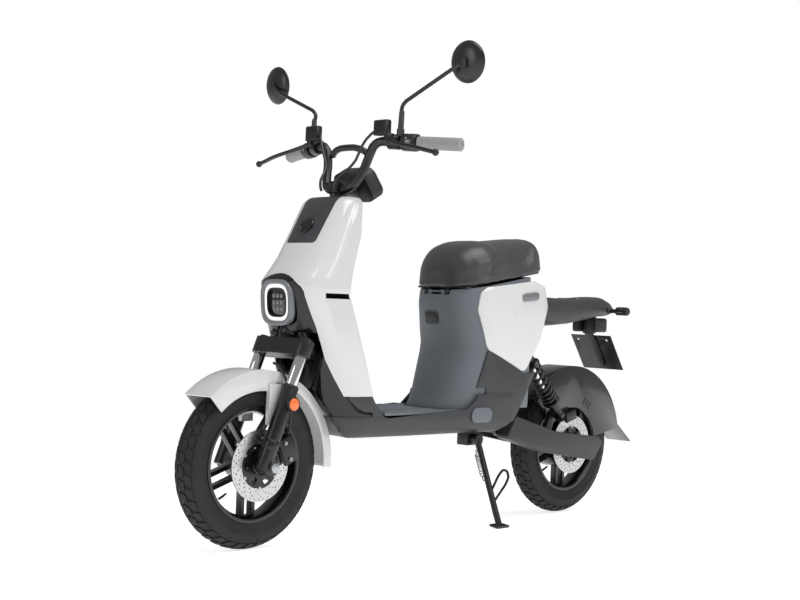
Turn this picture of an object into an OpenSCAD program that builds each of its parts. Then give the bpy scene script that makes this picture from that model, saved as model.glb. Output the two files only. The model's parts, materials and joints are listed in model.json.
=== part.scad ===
// Electric moped: a step-through body on a tube frame, leaning on its side stand.
// Every sub-part is drawn upright, with the ground at Z = 0 and the rear axle at X = 0.
// X points forward and Y to the left. stance() then leans the moped onto its stand.
// Body heights are written as tyre_d + h, so the body rides above whatever tyre is fitted.

/* [Wheels and stance] */
// Distance between the two axles
wheelbase = 1120; // [1000:5:1350]
// Outside diameter of both tyres
tyre_d = 382; // [330:1:460]
// Width of both tyres
tyre_w = 66; // [55:1:80]
// Height of the tyre section from bead to tread
tyre_h = 64; // [52:1:76]
// Sideways lean onto the side stand, in degrees
lean = 6; // [4:0.5:8]
// Angle of the steering axis behind vertical, in degrees
caster = 22; // [19:0.5:25]
// How far the steering axis passes in front of the front axle
axis_lead = 13; // [8:1:18]

/* [Fork and steering] */
// Distance of each fork leg from the centre plane
leg_y = 72; // [66:1:84]
// Radius of the fork stanchions
stanchion_r = 13.5; // [11:0.5:15]
// Radius of the fork sliders
slider_r = 18; // [17:0.5:20]
// Radius of the steering stem
stem_r = 14; // [12:0.5:15]
// Radius of the front axle
axle_r = 7; // [5:0.5:8]
// Gap between the tyre and the inside of the front fender
fender_gap = 19; // [15:1:24]
// Radial gap of shafts that turn in bores
running_gap = 0.08; // [0.04:0.01:0.1]

/* [Handlebar] */
// Radius of the handlebar tube
bar_r = 11; // [10:0.5:12.5]
// Distance of each grip's outer end from the centre plane
bar_half = 294; // [280:1:340]
// Height of the grips above the tops of the tyres
grip_h = 550; // [530:1:590]
// Length of the grips
grip_len = 106; // [95:1:120]
// Radius of the grips
grip_r = 15.5; // [15:0.5:17]
// Radius of the round mirrors
mirror_r = 48; // [44:1:56]
// Distance of each mirror's centre from the centre plane
mirror_y = 329; // [315:1:350]
// Height of the mirrors' centres above the tops of the tyres
mirror_h = 728; // [700:1:760]

/* [Body] */
// Thickness of the moulded panels
wall = 3; // [2.5:0.1:4]
// Half the width of the seat box and its side panels
body_half = 119; // [113:1:127]
// Height of the floorboard's top above the tops of the tyres
floor_h = -77; // [-82:1:-70]
// Half the width of the headlight
lamp_half = 53; // [48:1:56]
// Gap between neighbouring panels
panel_gap = 1; // [0.6:0.1:1.5]

/* [Seat] */
// Front end of the seat ahead of the rear axle
seat_front = 532; // [516:2:556]
// Rear end of the seat ahead of the rear axle
seat_rear = 182; // [160:2:206]
// Half the width of the seat
seat_half = 119; // [112:1:128]
// Height of the seat's front lower edge above the tops of the tyres
seat_h = 225; // [215:1:240]
// Rise of the seat's underside for each millimetre towards the rear
seat_slope = 0.18; // [0.16:0.004:0.19]
// Thickest part of the cushion
seat_thick = 104; // [88:1:120]

/* [Brakes and stand] */
// Radius of the front brake disc
front_disc_r = 80.5; // [72:0.5:88]
// Radius of the rear brake disc
rear_disc_r = 80; // [70:0.5:86]
// Thickness of the brake discs
disc_t = 4; // [3:0.5:4]
// Half the distance between the faces of each caliper's slot
caliper_gap = 7; // [6:0.5:8]
// Radius of the side stand's leg
stand_r = 8; // [7:0.5:10]

/* [Hidden] */
$fn = 64;

tyre_r = tyre_d / 2;
bead_r = tyre_r - tyre_h;
rim_half = 0.4 * tyre_w;

// The steering axis crosses the fork crown a little above the front tyre.
crown_z = tyre_d + 64;
function steer_x(z) = wheelbase + axis_lead - (z - tyre_r) * tan(caster);
function up_axis(z) = (z - tyre_r) / cos(caster);
crown_low = up_axis(crown_z) - 13;
crown_top = crown_low + 38;
head_low = crown_top + 12;
head_high = head_low + 250;
clamp_s = up_axis(tyre_d + 443);
slider_top = up_axis(tyre_d - 19);
axle_in_fork = [-axis_lead * cos(caster), axis_lead * sin(caster)];

// Front of the body, as distances behind the front axle at heights over the tyre tops
shield_back = [[-130, 280], [-37, 277], [48, 249], [118, 224], [198, 196], [258, 209],
    [335, 236], [408, 243], [423, 245]];
shield_front = [[-130, 195], [-37, 140], [42, 110], [93, 97], [155, 75], [189, 66], [221, 60],
    [248, 84], [278, 108], [310, 125], [368, 158], [408, 182], [423, 190]];
shield_half = [[-130, 112], [-37, 114], [118, 109], [198, 107], [258, 102], [335, 95],
    [408, 88], [423, 84]];
shield_low = -37;
shield_high = 423;
ledge_h = 107;
squareness = 2.8;

// The room that the fork and the front wheel sweep as they turn
tunnel_r = leg_y + slider_r + 5;
function tunnel_at(h) = h > -22 ? tunnel_r
    : tunnel_r + (-22 - h) * 1.13;

// Rear body
bay_rear = tyre_r + 85;
skin_rear = tyre_r + 4;
box_low = floor_h + 0.5;
box_round = 400;
box_front = [[-76, 572], [-60, 560], [-33, 547], [59, 516], [85, 511], [188, 532], [240, 528]];
box_half = [[-140, -16], [-110, -4], [-50, 0], [120, 2], [260, -6]];
tub_low = -136;
hugger_r = tyre_r + 24;
swing_pivot = [330, tyre_d - 132];
rail_y = 36;
swing_y = tyre_w / 2 + 30;
shock_y = swing_y + 20;
stand_pivot = [456, 92, tyre_d - 154];
stand_foot = [484, 206];
hinge_x = seat_front - 12;
hinge_z = tyre_d + seat_h - 8;
mirror_z = tyre_d + mirror_h;
grip_z = tyre_d + grip_h;
bend_y = 82;
bar_back = 347;
bend_back = 276;

// Ends of the moped, which set its middle
flap_tilt = 52.5;
flap_len = 88;
tail_end = -(tyre_r + 20 + wall * cos(flap_tilt) + flap_len * sin(flap_tilt));
front_end = wheelbase + tyre_r;

function flat(a) = [for (row = a) each row];
function power(v, p) = sign(v) * pow(abs(v), p);
function seat_line(x) = tyre_d + seat_h + (seat_front - x) * seat_slope;

// Leans the upright moped onto its stand and centres it over its own shadow
module stance() {
    translate([-(front_end + tail_end) / 2, -mirror_z * sin(lean) + tyre_w / 2 * sin(lean), tyre_w / 2])
        rotate([-lean, 0, 0]) translate([0, 0, -tyre_w / 2]) children();
}

// Along the steering axis, measured up from the height of the axles
module steering() {
    translate([steer_x(tyre_r), 0, tyre_r]) rotate([0, -caster, 0]) children();
}

// On a wheel's axle, with Z pointing to the left
module on_axle(x) {
    translate([x, 0, tyre_r]) rotate([-90, 0, 0]) children();
}

module both_sides() {
    children();
    mirror([0, 1, 0]) children();
}

// Round bar between two points
module rod(a, b, r) {
    d = b - a;
    len = norm(d);
    translate(a) rotate([0, acos(d[2] / len), atan2(d[1], d[0])]) cylinder(h = len, r = r);
}

// Closed solid through rings of points, each running anticlockwise around the way of travel
module loft(rings) {
    n = len(rings[0]);
    m = len(rings);
    sides = [for (i = [0:m - 2], j = [0:n - 1])
        let (a = i * n + j, b = i * n + (j + 1) % n, c = b + n, d = a + n)
        each [[a, d, c], [a, c, b]]];
    low = [for (j = [0:n - 1]) j];
    high = [for (j = [n - 1:-1:0]) (m - 1) * n + j];
    polyhedron(points = flat(rings), faces = concat([low, high], sides));
}

// Cuts each corner of a path twice, which turns its bends into curves
function near(a, b, reach) = a + (b - a) * min(reach / norm(b - a), 0.35);
function cut_corners(p, reach) = concat([p[0]],
    [for (i = [1:1:len(p) - 2]) each [near(p[i], p[i - 1], reach), near(p[i], p[i + 1], reach)]],
    [p[len(p) - 1]]);
function smooth(p, reach = 30) = cut_corners(cut_corners(p, reach), 0.3 * reach);

// Tube swept along points; side is a direction that the path never takes
module tube(points, r, side, sides = 12) {
    n = len(points);
    function heading(i) = let (d = points[min(i + 1, n - 1)] - points[max(i - 1, 0)]) d / norm(d);
    loft([for (i = [0:n - 1])
        let (d = heading(i), u = cross(side, d), v = u / norm(u), w = cross(d, v))
        [for (k = [0:sides - 1]) points[i] + r * cos(k * 360 / sides) * v + r * sin(k * 360 / sides) * w]]);
}

// One level of the front body: a rounded nose with a straight back
function shield_ring(h, inset, open_back, tunnel) =
    let (z = tyre_d + h,
        back = wheelbase - lookup(h, shield_back) - open_back,
        front = wheelbase - lookup(h, shield_front) - inset,
        half = lookup(h, shield_half) - inset,
        room = tunnel_at(h) + inset)
    [for (a = [-90:7.5:90])
        let (y = half * power(sin(a), 2 / squareness),
            x = back + (front - back) * power(cos(a), 2 / squareness),
            limit = tunnel && abs(y) < room ? steer_x(z) - sqrt(room * room - y * y) : x)
        [min(x, limit), y, z]];

shield_levels = [-37, -10, 20, 48, 80, 118, 150, 189, 210, 221, 234, 248, 278, 310, 335, 368, 408];

module shield_solid(inset, open_back, drop) {
    loft(concat([for (h = shield_levels) shield_ring(h == shield_low ? h - drop : h, inset, open_back, false)],
        [for (step = [[8, 2.5], [14, 7], [17, 15], [18.5, 28]])
            shield_ring(408 + step[0] - inset, inset + step[1], open_back, false)]));
}

// Outline of the black nose, seen from the front; grow moves its edge outwards
module nose_outline(grow) {
    offset(r = grow) union() {
        polygon(concat(
            [for (a = [0:15:180]) [74 * cos(a) * (1 - 0.12 * sin(a)), tyre_d + 200 + 40 * sin(a)]],
            [[-84, tyre_d + 120], [-89, tyre_d + 46], [-103, tyre_d - 40], [-120, tyre_d - 140],
                [120, tyre_d - 140], [103, tyre_d - 40], [89, tyre_d + 46], [84, tyre_d + 120]]));
    }
}
module facing_front() {
    translate([wheelbase - 400, 0, 0]) rotate([90, 0, 90]) linear_extrude(600) children();
}

module stem_room(r, sides = 12) {
    steering() cylinder(h = 900, r = r, $fn = sides);
}

module front_shell() stance() color("white") difference() {
    shield_solid(0, 0, 0);
    shield_solid(wall, 30, 6);
    facing_front() nose_outline(0);
    facing_front() emblem_outline(0);
    stem_room(stem_r + 12);
    both_sides() translate([wheelbase - 200, 60, tyre_d + 186]) cube([72, 80, 12]);
}

module emblem_outline(grow) {
    offset(r = grow) offset(r = 8) offset(r = -8)
        polygon([[-50, tyre_d + 312], [50, tyre_d + 312], [57, tyre_d + 500], [-57, tyre_d + 500]]);
}

module emblem_panel() stance() color("#444648") difference() {
    intersection() {
        shield_solid(0.4, 0, 0);
        facing_front() emblem_outline(-panel_gap);
    }
    shield_solid(wall + 0.4, 30, 6);
    stem_room(stem_r + 12);
}

nose_levels = [-90, -60, -37, -22, 0, 20, 48, 80];
module nose_solid(inset, open_back, drop, ledge) {
    loft(concat([for (h = nose_levels) shield_ring(h == -90 ? h - drop : h, inset, open_back, true)],
        [shield_ring(ledge - 2, inset, open_back, true)],
        [for (h = [ledge, 118, 150, 189, 210, 221, 234, 248]) shield_ring(h, inset, open_back, false)]));
}
module nose_panel() stance() color("#1c1c1e") difference() {
    intersection() {
        nose_solid(0.6, 0, 0, ledge_h);
        facing_front() nose_outline(-panel_gap);
        translate([wheelbase - 400, -150, tyre_d - 84]) cube([400, 300, 340]);
    }
    nose_solid(wall + 0.6, 30, 6, ledge_h + 3);
    lamp_place(-60) linear_extrude(120) lamp_outline(lamp_half + panel_gap);
    stem_room(stem_r + 13);
    down_tubes(2);
}

lamp_tilt = 5;
module lamp_place(depth) {
    translate([wheelbase - 70, 0, tyre_d + 173]) rotate([0, 90 + lamp_tilt, 0]) translate([0, 0, depth]) children();
}
module lamp_outline(half) {
    polygon([for (a = [0:6:354]) half * [power(cos(a), 2 / 3.4), power(sin(a), 2 / 3.4)]]);
}
module headlight() stance() color("silver") union() {
    lamp_place(-16) linear_extrude(16) lamp_outline(lamp_half - 3);
    lamp_place(-8) difference() {
        linear_extrude(14) lamp_outline(lamp_half);
        translate([0, 0, 9]) linear_extrude(20) lamp_outline(lamp_half - 9);
    }
}

// Rear face of the leg shield, bulging back round the steering column
function inner_ring(h) =
    let (back = wheelbase - lookup(h, shield_back) - panel_gap,
        half = lookup(h, shield_half) - wall - 2,
        bulge = 14 + 20 * max(0, (h - 150) / 260))
    concat([for (t = [1:-0.125:-1]) [back - bulge * (1 - t * t) * (1 - t * t), t * half, tyre_d + h]],
        [for (t = [-1:0.125:1]) [back - bulge * (1 - t * t) * (1 - t * t) + wall, t * half, tyre_d + h]]);
module inner_shield() stance() color("#3c3e40")
    loft([for (h = [-37, -10, 20, 48, 80, 118, 150, 198, 258, 300, 335, 368, 408]) inner_ring(h)]);

// One level of the rear body, rounded in front and narrower towards the tail
function taper(x) = x > 350 ? 0 : 0.0006 * pow(350 - x, 2);
function body_ring(h, inset, rear) =
    let (half = body_half + lookup(h, box_half) - inset, z = tyre_d + h, front = lookup(min(h, 240), box_front) - inset,
        flank = concat([for (t = [0:2]) rear + inset + t / 3 * (300 - rear - inset)], [300, 325, 350, 385]))
    concat([for (x = flank) [x, -(half - taper(x)), z]],
        [for (a = [-90:9:90]) [box_round + (front - box_round) * power(cos(a), 0.8), half * power(sin(a), 0.8), z]],
        [for (k = [6:-1:0]) [flank[k], half - taper(flank[k]), z]]);
function lifted(ring, drop) = [for (p = ring) [p[0], p[1], min(p[2], seat_line(p[0]) - drop)]];
body_levels = [-60, -33, 10, 59, 85, 120, 150, 188, 215];
module box_solid(low, inset, rear, drop) {
    loft(concat([body_ring(low, inset, rear)], [for (h = [box_low + 0.2, each body_levels]) if (h > low) body_ring(h, inset, rear)],
        [lifted(body_ring(290, inset, rear), drop)]));
}
module seat_box() stance() color("#565c62") {
    difference() {
        box_solid(box_low, wall + 0.6, bay_rear, 6.5);
        box_solid(box_low + 4, 2 * wall + 1.6, bay_rear, -60);
        translate([hinge_x - 14, -44, seat_line(hinge_x) - 17.9]) cube([40, 88, 40]);
    }
    both_sides() translate([hinge_x - 5, 18, hinge_z - 17]) cube([9, 10, 21]);
    rod([hinge_x, -38, hinge_z], [hinge_x, 38, hinge_z], 3);
}

// Looks at the moped from its left side
module seen_from_side(y0, y1) {
    translate([0, y1, 0]) rotate([90, 0, 0]) linear_extrude(y1 - y0) children();
}
module side_outline() {
    offset(r = 22) offset(r = -22)
        polygon([[451, tyre_d + 231], [267, tyre_d + 254], [212, tyre_d + 240], [199, tyre_d + 186],
            [240, tyre_d + 100], [304, tyre_d + 15], [447, tyre_d + 74], [477, tyre_d + 174], [470, tyre_d + 215]]);
}
module body_skin() {
    difference() {
        box_solid(-110, 0, skin_rear, 9);
        box_solid(-120, wall, skin_rear, -60);
    }
}
module side_panels() stance() color("white") intersection() {
    body_skin();
    both_sides() seen_from_side(60, 200) side_outline();
    translate([skin_rear + 4, -200, 0]) cube([600, 400, 2000]);
}

// Lower body: a tray under the floor that rises at both ends
function tub_front(h) = wheelbase - lookup(h, shield_front);
function tub_ring(h, inset) =
    let (z = tyre_d + h, half = body_half + lookup(h, box_half) - inset, front = tub_front(h) - inset,
        room = tunnel_at(h) + inset)
    concat([for (x = [skin_rear + 60 + inset, 350, 500, 700]) [x, -(half - taper(x)), z]],
        [for (a = [-90:7.5:90])
            let (y = (half - 8) * power(sin(a), 2 / squareness),
                x = wheelbase - 280 + (front - wheelbase + 280) * power(cos(a), 2 / squareness),
                limit = abs(y) < room ? steer_x(z) - sqrt(room * room - y * y) : x)
            [min(x, limit), y, z]],
        [for (x = [700, 500, 350, skin_rear + 60 + inset]) [x, half - taper(x), z]]);
module tub_outline() {
    polygon([[wheelbase - 120, tyre_d - 38], [wheelbase - 277, tyre_d - 38], [wheelbase - 289, tyre_d - 56],
        [wheelbase - 318, tyre_d + floor_h - 10], [wheelbase - 336, tyre_d + floor_h - 13], [660, tyre_d + floor_h - 5],
        [544, tyre_d + floor_h + 2], [520, tyre_d + floor_h], [485, tyre_d - 50], [446, tyre_d + 71],
        [304, tyre_d + 12], [256, tyre_d + 17], [337, tyre_d - 108], [409, tyre_d - 150],
        [wheelbase - 120, tyre_d - 150]]);
}
module lower_body() stance() color("#3f4042") difference() {
    intersection() {
        union() {
            loft([for (h = [tub_low, tub_low + 4, tub_low + 14, -100, -85, -60, -38])
                tub_ring(h, h == tub_low ? 12 : h == tub_low + 4 ? 5 : 0)]);
            body_skin();
        }
        seen_from_side(-200, 200) tub_outline();
    }
    loft([for (h = [tub_low + 4, tub_low + 14, -100, -85, -60, -22])
        tub_ring(h, h == tub_low + 4 ? 12 : wall + 0.5)]);
    box_solid(-120, wall, skin_rear, -60);
    intersection() {
        facing_front() nose_outline(0.2);
        translate([wheelbase - 281.3, -150, tyre_d - 85.3]) cube([281, 300, 60]);
    }
    translate([stand_pivot[0] - 26, rail_y + 8, tyre_d - 150]) cube([52, 42, 40]);
}
floor_front = wheelbase - 319;
floor_rear = 520;
module floorboard() stance() color("#62686e")
    translate([0, 0, tyre_d + floor_h - 7]) linear_extrude(7) difference() {
        polygon([[floor_rear, -112], [floor_front, -112], [floor_front, 112], [floor_rear, 112]]);
        polygon([for (p = body_ring(box_low, -1, 300)) [p[0], p[1]]]);
    }

// The tubes that run from the steering head down to the floor
module down_tubes(grow) {
    tube(smooth([[steer_x(tyre_d + 150) - 6, 0, tyre_d + 150], [wheelbase - 232, 0, tyre_d - 10],
        [wheelbase - 250, 0, tyre_d - 112]]), 17 + grow, [0, 1, 0]);
    rod([steer_x(tyre_d + 215), 0, tyre_d + 215], [wheelbase - 213, 0, tyre_d + 70], 12 + grow);
}

module main_frame() stance() color("#222222") difference() {
    union() {
        steering() translate([0, 0, head_low]) cylinder(h = head_high - head_low, r = stem_r + 8);
        down_tubes(0);
        both_sides() {
            tube(smooth([[wheelbase - 250, 4, tyre_d - 110], [wheelbase - 300, rail_y, tyre_d - 110],
                [shock_top[0] + 4, rail_y, tyre_d - 110], [shock_top[0] + 4, 40, tyre_d + 170]]), 11, [0, 1, 0.2]);
            translate([shock_top[0] - 8, 46, shock_top[1] - 12]) cube([16, shock_y - 55.4, 24]);
            rod([shock_top[0], 60, shock_top[1]], [shock_top[0], shock_y + 10, shock_top[1]], 4.6);
        }
        rod([swing_pivot[0], -(swing_y - 12), swing_pivot[1]], [swing_pivot[0], swing_y - 12, swing_pivot[1]], 15);
        rod([shock_top[0] + 4, -40, tyre_d + 162], [shock_top[0] + 4, 40, tyre_d + 162], 8);
        rod([480, -rail_y, tyre_d - 110], [480, rail_y, tyre_d - 110], 9);
        rod([700, -rail_y, tyre_d - 110], [700, rail_y, tyre_d - 110], 9);
    }
    stem_room(stem_r + running_gap, $fn);
    rod([swing_pivot[0], -200, swing_pivot[1]], [swing_pivot[0], 200, swing_pivot[1]], 6);
}

module battery() stance() color("#2b2f33")
    translate([290, -72, tyre_d + box_low + 4.5]) cube([180, 144, 215]);

module side_caps() stance() color("#62686e") difference() {
    both_sides() seen_from_side(body_half - 11, body_half + 1.5) hull() {
        translate([446, tyre_d - 91]) circle(r = 19);
        translate([484, tyre_d - 91]) circle(r = 19);
    }
    loft([for (h = [tub_low + 14, -100, -85, -60, -38]) tub_ring(h, -0.3)]);
}

// Tail: sections from the seat box to the rear end: place, half width, bottom and top heights
tail_stations = [[bay_rear - 36, 68, 150, 214], [120, 74, 136, 215], [40, 72, 142, 213], [-60, 68, 158, 218],
    [-110, 63, 166, 222], [-150, 52, 168, 212], [-176, 40, 174, 200], [-188, 26, 180, 192]];
function tail_ring(s, inset) = [for (a = [0:15:345])
    [-s[0], (s[1] - inset) * power(cos(a), 0.6),
        tyre_d + (s[2] + s[3]) / 2 + ((s[3] - s[2]) / 2 - inset) * power(sin(a), 0.6)]];
module tail_solid(inset, first, last) {
    mirror([1, 0, 0]) loft([for (k = [first:last]) tail_ring(tail_stations[k], inset)]);
}
module tail_cowl() stance() color("#3c3e40") difference() {
    tail_solid(0, 0, 7);
    difference() {
        tail_solid(wall, 0, 5);
        translate([bay_rear - 60, -200, 0]) cube([60, 400, 60]);
        rack_holes(9);
    }
    translate([bay_rear - 37, -60, tyre_d + 154]) cube([10, 120, 56]);
    rack_holes(3.3);
}
module rack_holes(r) {
    both_sides() for (x = [20, -90]) translate([x, 40, tyre_d + 100]) cylinder(h = 300, r = r);
}

module tail_light() stance() color("#8a1410") both_sides()
    translate([-150, 14, tyre_d + 121.5]) cube([56, 28, 41.5]);

plate_tilt = 35;
plate_top = [-128, tyre_d + 113];
module on_plate() {
    translate([plate_top[0], 0, plate_top[1]]) rotate([0, plate_tilt, 0]) children();
}
module plate_bracket() stance() color("#222222") {
    on_plate() translate([1.2, -14, -104]) cube([5, 28, 116]);
    translate([-134, -13.5, tyre_d + 118]) cube([26, 27, 47]);
}
module number_plate() stance() color("#2c2d2f") on_plate() difference() {
    translate([-1, -70, -118]) cube([2, 140, 118]);
    both_sides() translate([-5, 50, -16]) rotate([0, 90, 0]) cylinder(h = 10, r = 3.5);
}
module rear_turn_signals() stance() color("#222222") both_sides() {
    rod([-130, 59, tyre_d + 184], [-130, 96, tyre_d + 184], 6);
    rod([-130, 86, tyre_d + 184], [-132, 128, tyre_d + 184], 12);
}

// Rear fender: a hood over the wheel with side plates, and a flap behind
module fender_arc(r, half, skirt, start, sweep) {
    rotate([0, 0, start]) rotate_extrude(angle = sweep) {
        difference() {
            translate([r - skirt, -half]) square([skirt + wall, 2 * half]);
            translate([r - skirt - 1, -half + wall]) square([skirt + 1, 2 * half - 2 * wall]);
        }
    }
}
module rear_fender() stance() color("#343537") {
    on_axle(0) fender_arc(hugger_r, tyre_w / 2 + 12, 112, -169.5, 132.5);
    translate([-tyre_r - 20, 0, tyre_r + 50]) rotate([0, flap_tilt, 0])
        translate([-wall, -42, -flap_len]) cube([wall, 84, flap_len + 2]);
}

module swingarm() stance() color("#222222") {
    difference() {
        both_sides() {
            hull() {
                translate([swing_pivot[0], swing_y - 10, swing_pivot[1]]) rotate([-90, 0, 0]) cylinder(h = 14, r = 22, $fn = 32);
                translate([0, swing_y - 10, tyre_r]) rotate([-90, 0, 0]) cylinder(h = 14, r = 24, $fn = 32);
            }
            hull() {
                translate([shock_low[0], swing_y - 8, shock_low[1]]) rotate([-90, 0, 0]) cylinder(h = 12, r = 12, $fn = 32);
                translate([140, swing_y - 8, tyre_r + 30]) rotate([-90, 0, 0]) cylinder(h = 12, r = 12, $fn = 32);
            }
            rod([shock_low[0], swing_y - 6, shock_low[1]], [shock_low[0], shock_y + 10, shock_low[1]], 4.6);
        }
        on_axle(0) translate([0, 0, -200]) cylinder(h = 400, r = axle_r + 1 + running_gap);
    }
    rod([swing_pivot[0], -(swing_y + 6), swing_pivot[1]], [swing_pivot[0], swing_y + 6, swing_pivot[1]], 5.6);
}

module cover_outline(grow) {
    offset(r = grow) offset(r = 8) offset(r = -8)
        polygon([[318, tyre_r + 92], [352, tyre_r + 36], [200, tyre_r - 6], [-19, tyre_r - 38],
            [-58, tyre_r + 8], [-40, tyre_r + 26], [150, tyre_r + 46]]);
}
module swingarm_cover() stance() color("#343537") difference() {
    seen_from_side(swing_y + 5.6, swing_y + 46) cover_outline(0);
    seen_from_side(swing_y + 4, swing_y + 43) cover_outline(-3);
}

shock_top = [bay_rear - 26, tyre_d + 50];
shock_low = [113, tyre_r + 90];
module shock_absorbers() stance() color("silver") both_sides() {
    top = [shock_top[0], shock_y, shock_top[1]];
    low = [shock_low[0], shock_y, shock_low[1]];
    dir = (top - low) / norm(top - low);
    difference() {
        union() {
            rod(low + 16 * dir, low + 60 * dir, 15);
            rod(low + 60 * dir, top - 16 * dir, 7);
            rod(low + 44 * dir, low + 50 * dir, 24);
            rod(top - 24 * dir, top - 18 * dir, 24);
            rod(low + 50 * dir, top - 24 * dir, 21);
            translate(top - [0, 9, 0]) rotate([-90, 0, 0]) cylinder(h = 18, r = 18);
            translate(low - [0, 9, 0]) rotate([-90, 0, 0]) cylinder(h = 18, r = 18);
        }
        translate(top - [0, 20, 0]) rotate([-90, 0, 0]) cylinder(h = 40, r = 5);
        translate(low - [0, 20, 0]) rotate([-90, 0, 0]) cylinder(h = 40, r = 5);
    }
}

module rear_axle() stance() color("silver") on_axle(0) {
    translate([0, 0, -(swing_y + 20)]) cylinder(h = 2 * swing_y + 40, r = axle_r + 1);
    both_nuts();
}
module both_nuts() {
    for (side = [-1, 1]) translate([0, 0, side * (swing_y + 11.5) - 5]) cylinder(h = 10, r = 14, $fn = 6);
}

// Wheels: a cast rim with pairs of spokes round a hub
module rim(hub_r, low, high, bore) {
    difference() {
        union() {
            rotate_extrude() polygon([[bead_r - 0.3, -rim_half], [bead_r - 0.3, rim_half], [bead_r - 5, rim_half],
                [bead_r - 12, 12], [bead_r - 12, -12], [bead_r - 5, -rim_half]]);
            translate([0, 0, low]) cylinder(h = high - low, r = hub_r);
            for (k = [0:4], side = [-1, 1]) rotate([0, 0, 72 * k + 18])
                translate([hub_r - 8, side * 15 - 5, -9]) cube([bead_r - hub_r, 10, 18]);
        }
        translate([0, 0, -200]) cylinder(h = 400, r = bore);
    }
}
module tyre() {
    rotate_extrude() difference() {
        union() {
            translate([tyre_r - tyre_w / 2, 0]) circle(r = tyre_w / 2);
            polygon([[bead_r, -rim_half + 2], [tyre_r - tyre_w / 2, -tyre_w / 2 + 1],
                [tyre_r - tyre_w / 2, tyre_w / 2 - 1], [bead_r, rim_half - 2]]);
        }
        translate([0, -tyre_w]) square([bead_r, 2 * tyre_w]);
    }
}
front_disc_y = 43;
rear_disc_y = 40;
module disc(r, y, inner) {
    translate([0, 0, y]) difference() {
        cylinder(h = disc_t, r = r);
        translate([0, 0, -1]) cylinder(h = disc_t + 2, r = inner);
        for (k = [0:5]) rotate([0, 0, 60 * k]) translate([inner + 14, 0, -1]) cylinder(h = disc_t + 2, r = 9);
    }
}
module front_rim() stance() color("#1b1b1c") on_axle(wheelbase)
    rim(36, -40, front_disc_y, axle_r + running_gap);
module front_tyre() stance() color("#111111") on_axle(wheelbase) tyre();
module front_disc() stance() color("silver") on_axle(wheelbase) disc(front_disc_r, front_disc_y, 20);
module rear_rim() stance() color("#1b1b1c") on_axle(0)
    rim(66, -rear_disc_y, rear_disc_y, axle_r + 1 + running_gap);
module rear_tyre() stance() color("#111111") on_axle(0) tyre();
module rear_disc() stance() color("silver") on_axle(0) disc(rear_disc_r, rear_disc_y, 36);

// A brake caliper straddles its disc at an angle round the axle
module caliper(disc_r, y, angle, reach, half_len) {
    mid = y + disc_t / 2;
    rotate([0, 0, angle]) difference() {
        translate([disc_r - reach, -half_len, mid - 17]) cube([reach + 17, 2 * half_len, 34]);
        translate([disc_r - 40, -40, mid - caliper_gap]) cube([45, 80, 2 * caliper_gap]);
    }
}
module front_caliper() stance() color("#1b1b1c") on_axle(wheelbase)
    caliper(front_disc_r, front_disc_y, 205, 24, 30);
module rear_caliper() stance() color("#1b1b1c") on_axle(0) caliper(rear_disc_r, rear_disc_y, -75, 10, 22);

module front_axle() stance() color("silver") on_axle(wheelbase) {
    translate([0, 0, -(leg_y + 29)]) cylinder(h = 2 * leg_y + 58, r = axle_r);
    for (side = [-1, 1]) translate([0, 0, side * (leg_y + 23.6) - 5]) cylinder(h = 10, r = 12, $fn = 6);
}

module fork_sliders() stance() color("#1b1b1c") difference() {
    both_sides() {
        steering() translate([0, leg_y, -10]) cylinder(h = slider_top + 10, r = slider_r);
        on_axle(wheelbase) translate([0, 0, leg_y - 14.5]) cylinder(h = 29, r = 20);
    }
    both_sides() steering() translate([0, leg_y, slider_top - 70]) cylinder(h = 90, r = stanchion_r + 0.1);
    on_axle(wheelbase) translate([0, 0, -200]) cylinder(h = 400, r = axle_r + 0.05);
}
module fork_stanchions() stance() color("silver") both_sides()
    steering() translate([0, leg_y, slider_top - 68]) cylinder(h = crown_top - slider_top + 66, r = stanchion_r);

module steering_stem() stance() color("#222222") steering() {
    difference() {
        union() {
            translate([0, 0, crown_low]) {
                translate([-20, -leg_y, 0]) cube([40, 2 * leg_y, crown_top - crown_low]);
                both_sides() translate([0, leg_y, 0]) cylinder(h = crown_top - crown_low, r = 20);
            }
            translate([0, 0, crown_top - 1]) cylinder(h = head_low - crown_top + 0.7, r = stem_r + 6);
            translate([0, 0, crown_low]) cylinder(h = clamp_s - crown_low - 12, r = stem_r);
            translate([0, 0, head_high + 0.5]) cylinder(h = 8, r = stem_r + 6);
        }
        both_sides() translate([0, leg_y, crown_low - 1]) cylinder(h = 200, r = stanchion_r + 0.05);
    }
    difference() {
        translate([-18, -15, clamp_s - 14]) cube([36, 30, 30]);
        translate([0, -40, clamp_s]) rotate([-90, 0, 0]) cylinder(h = 80, r = bar_r + 0.05);
    }
}

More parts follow.
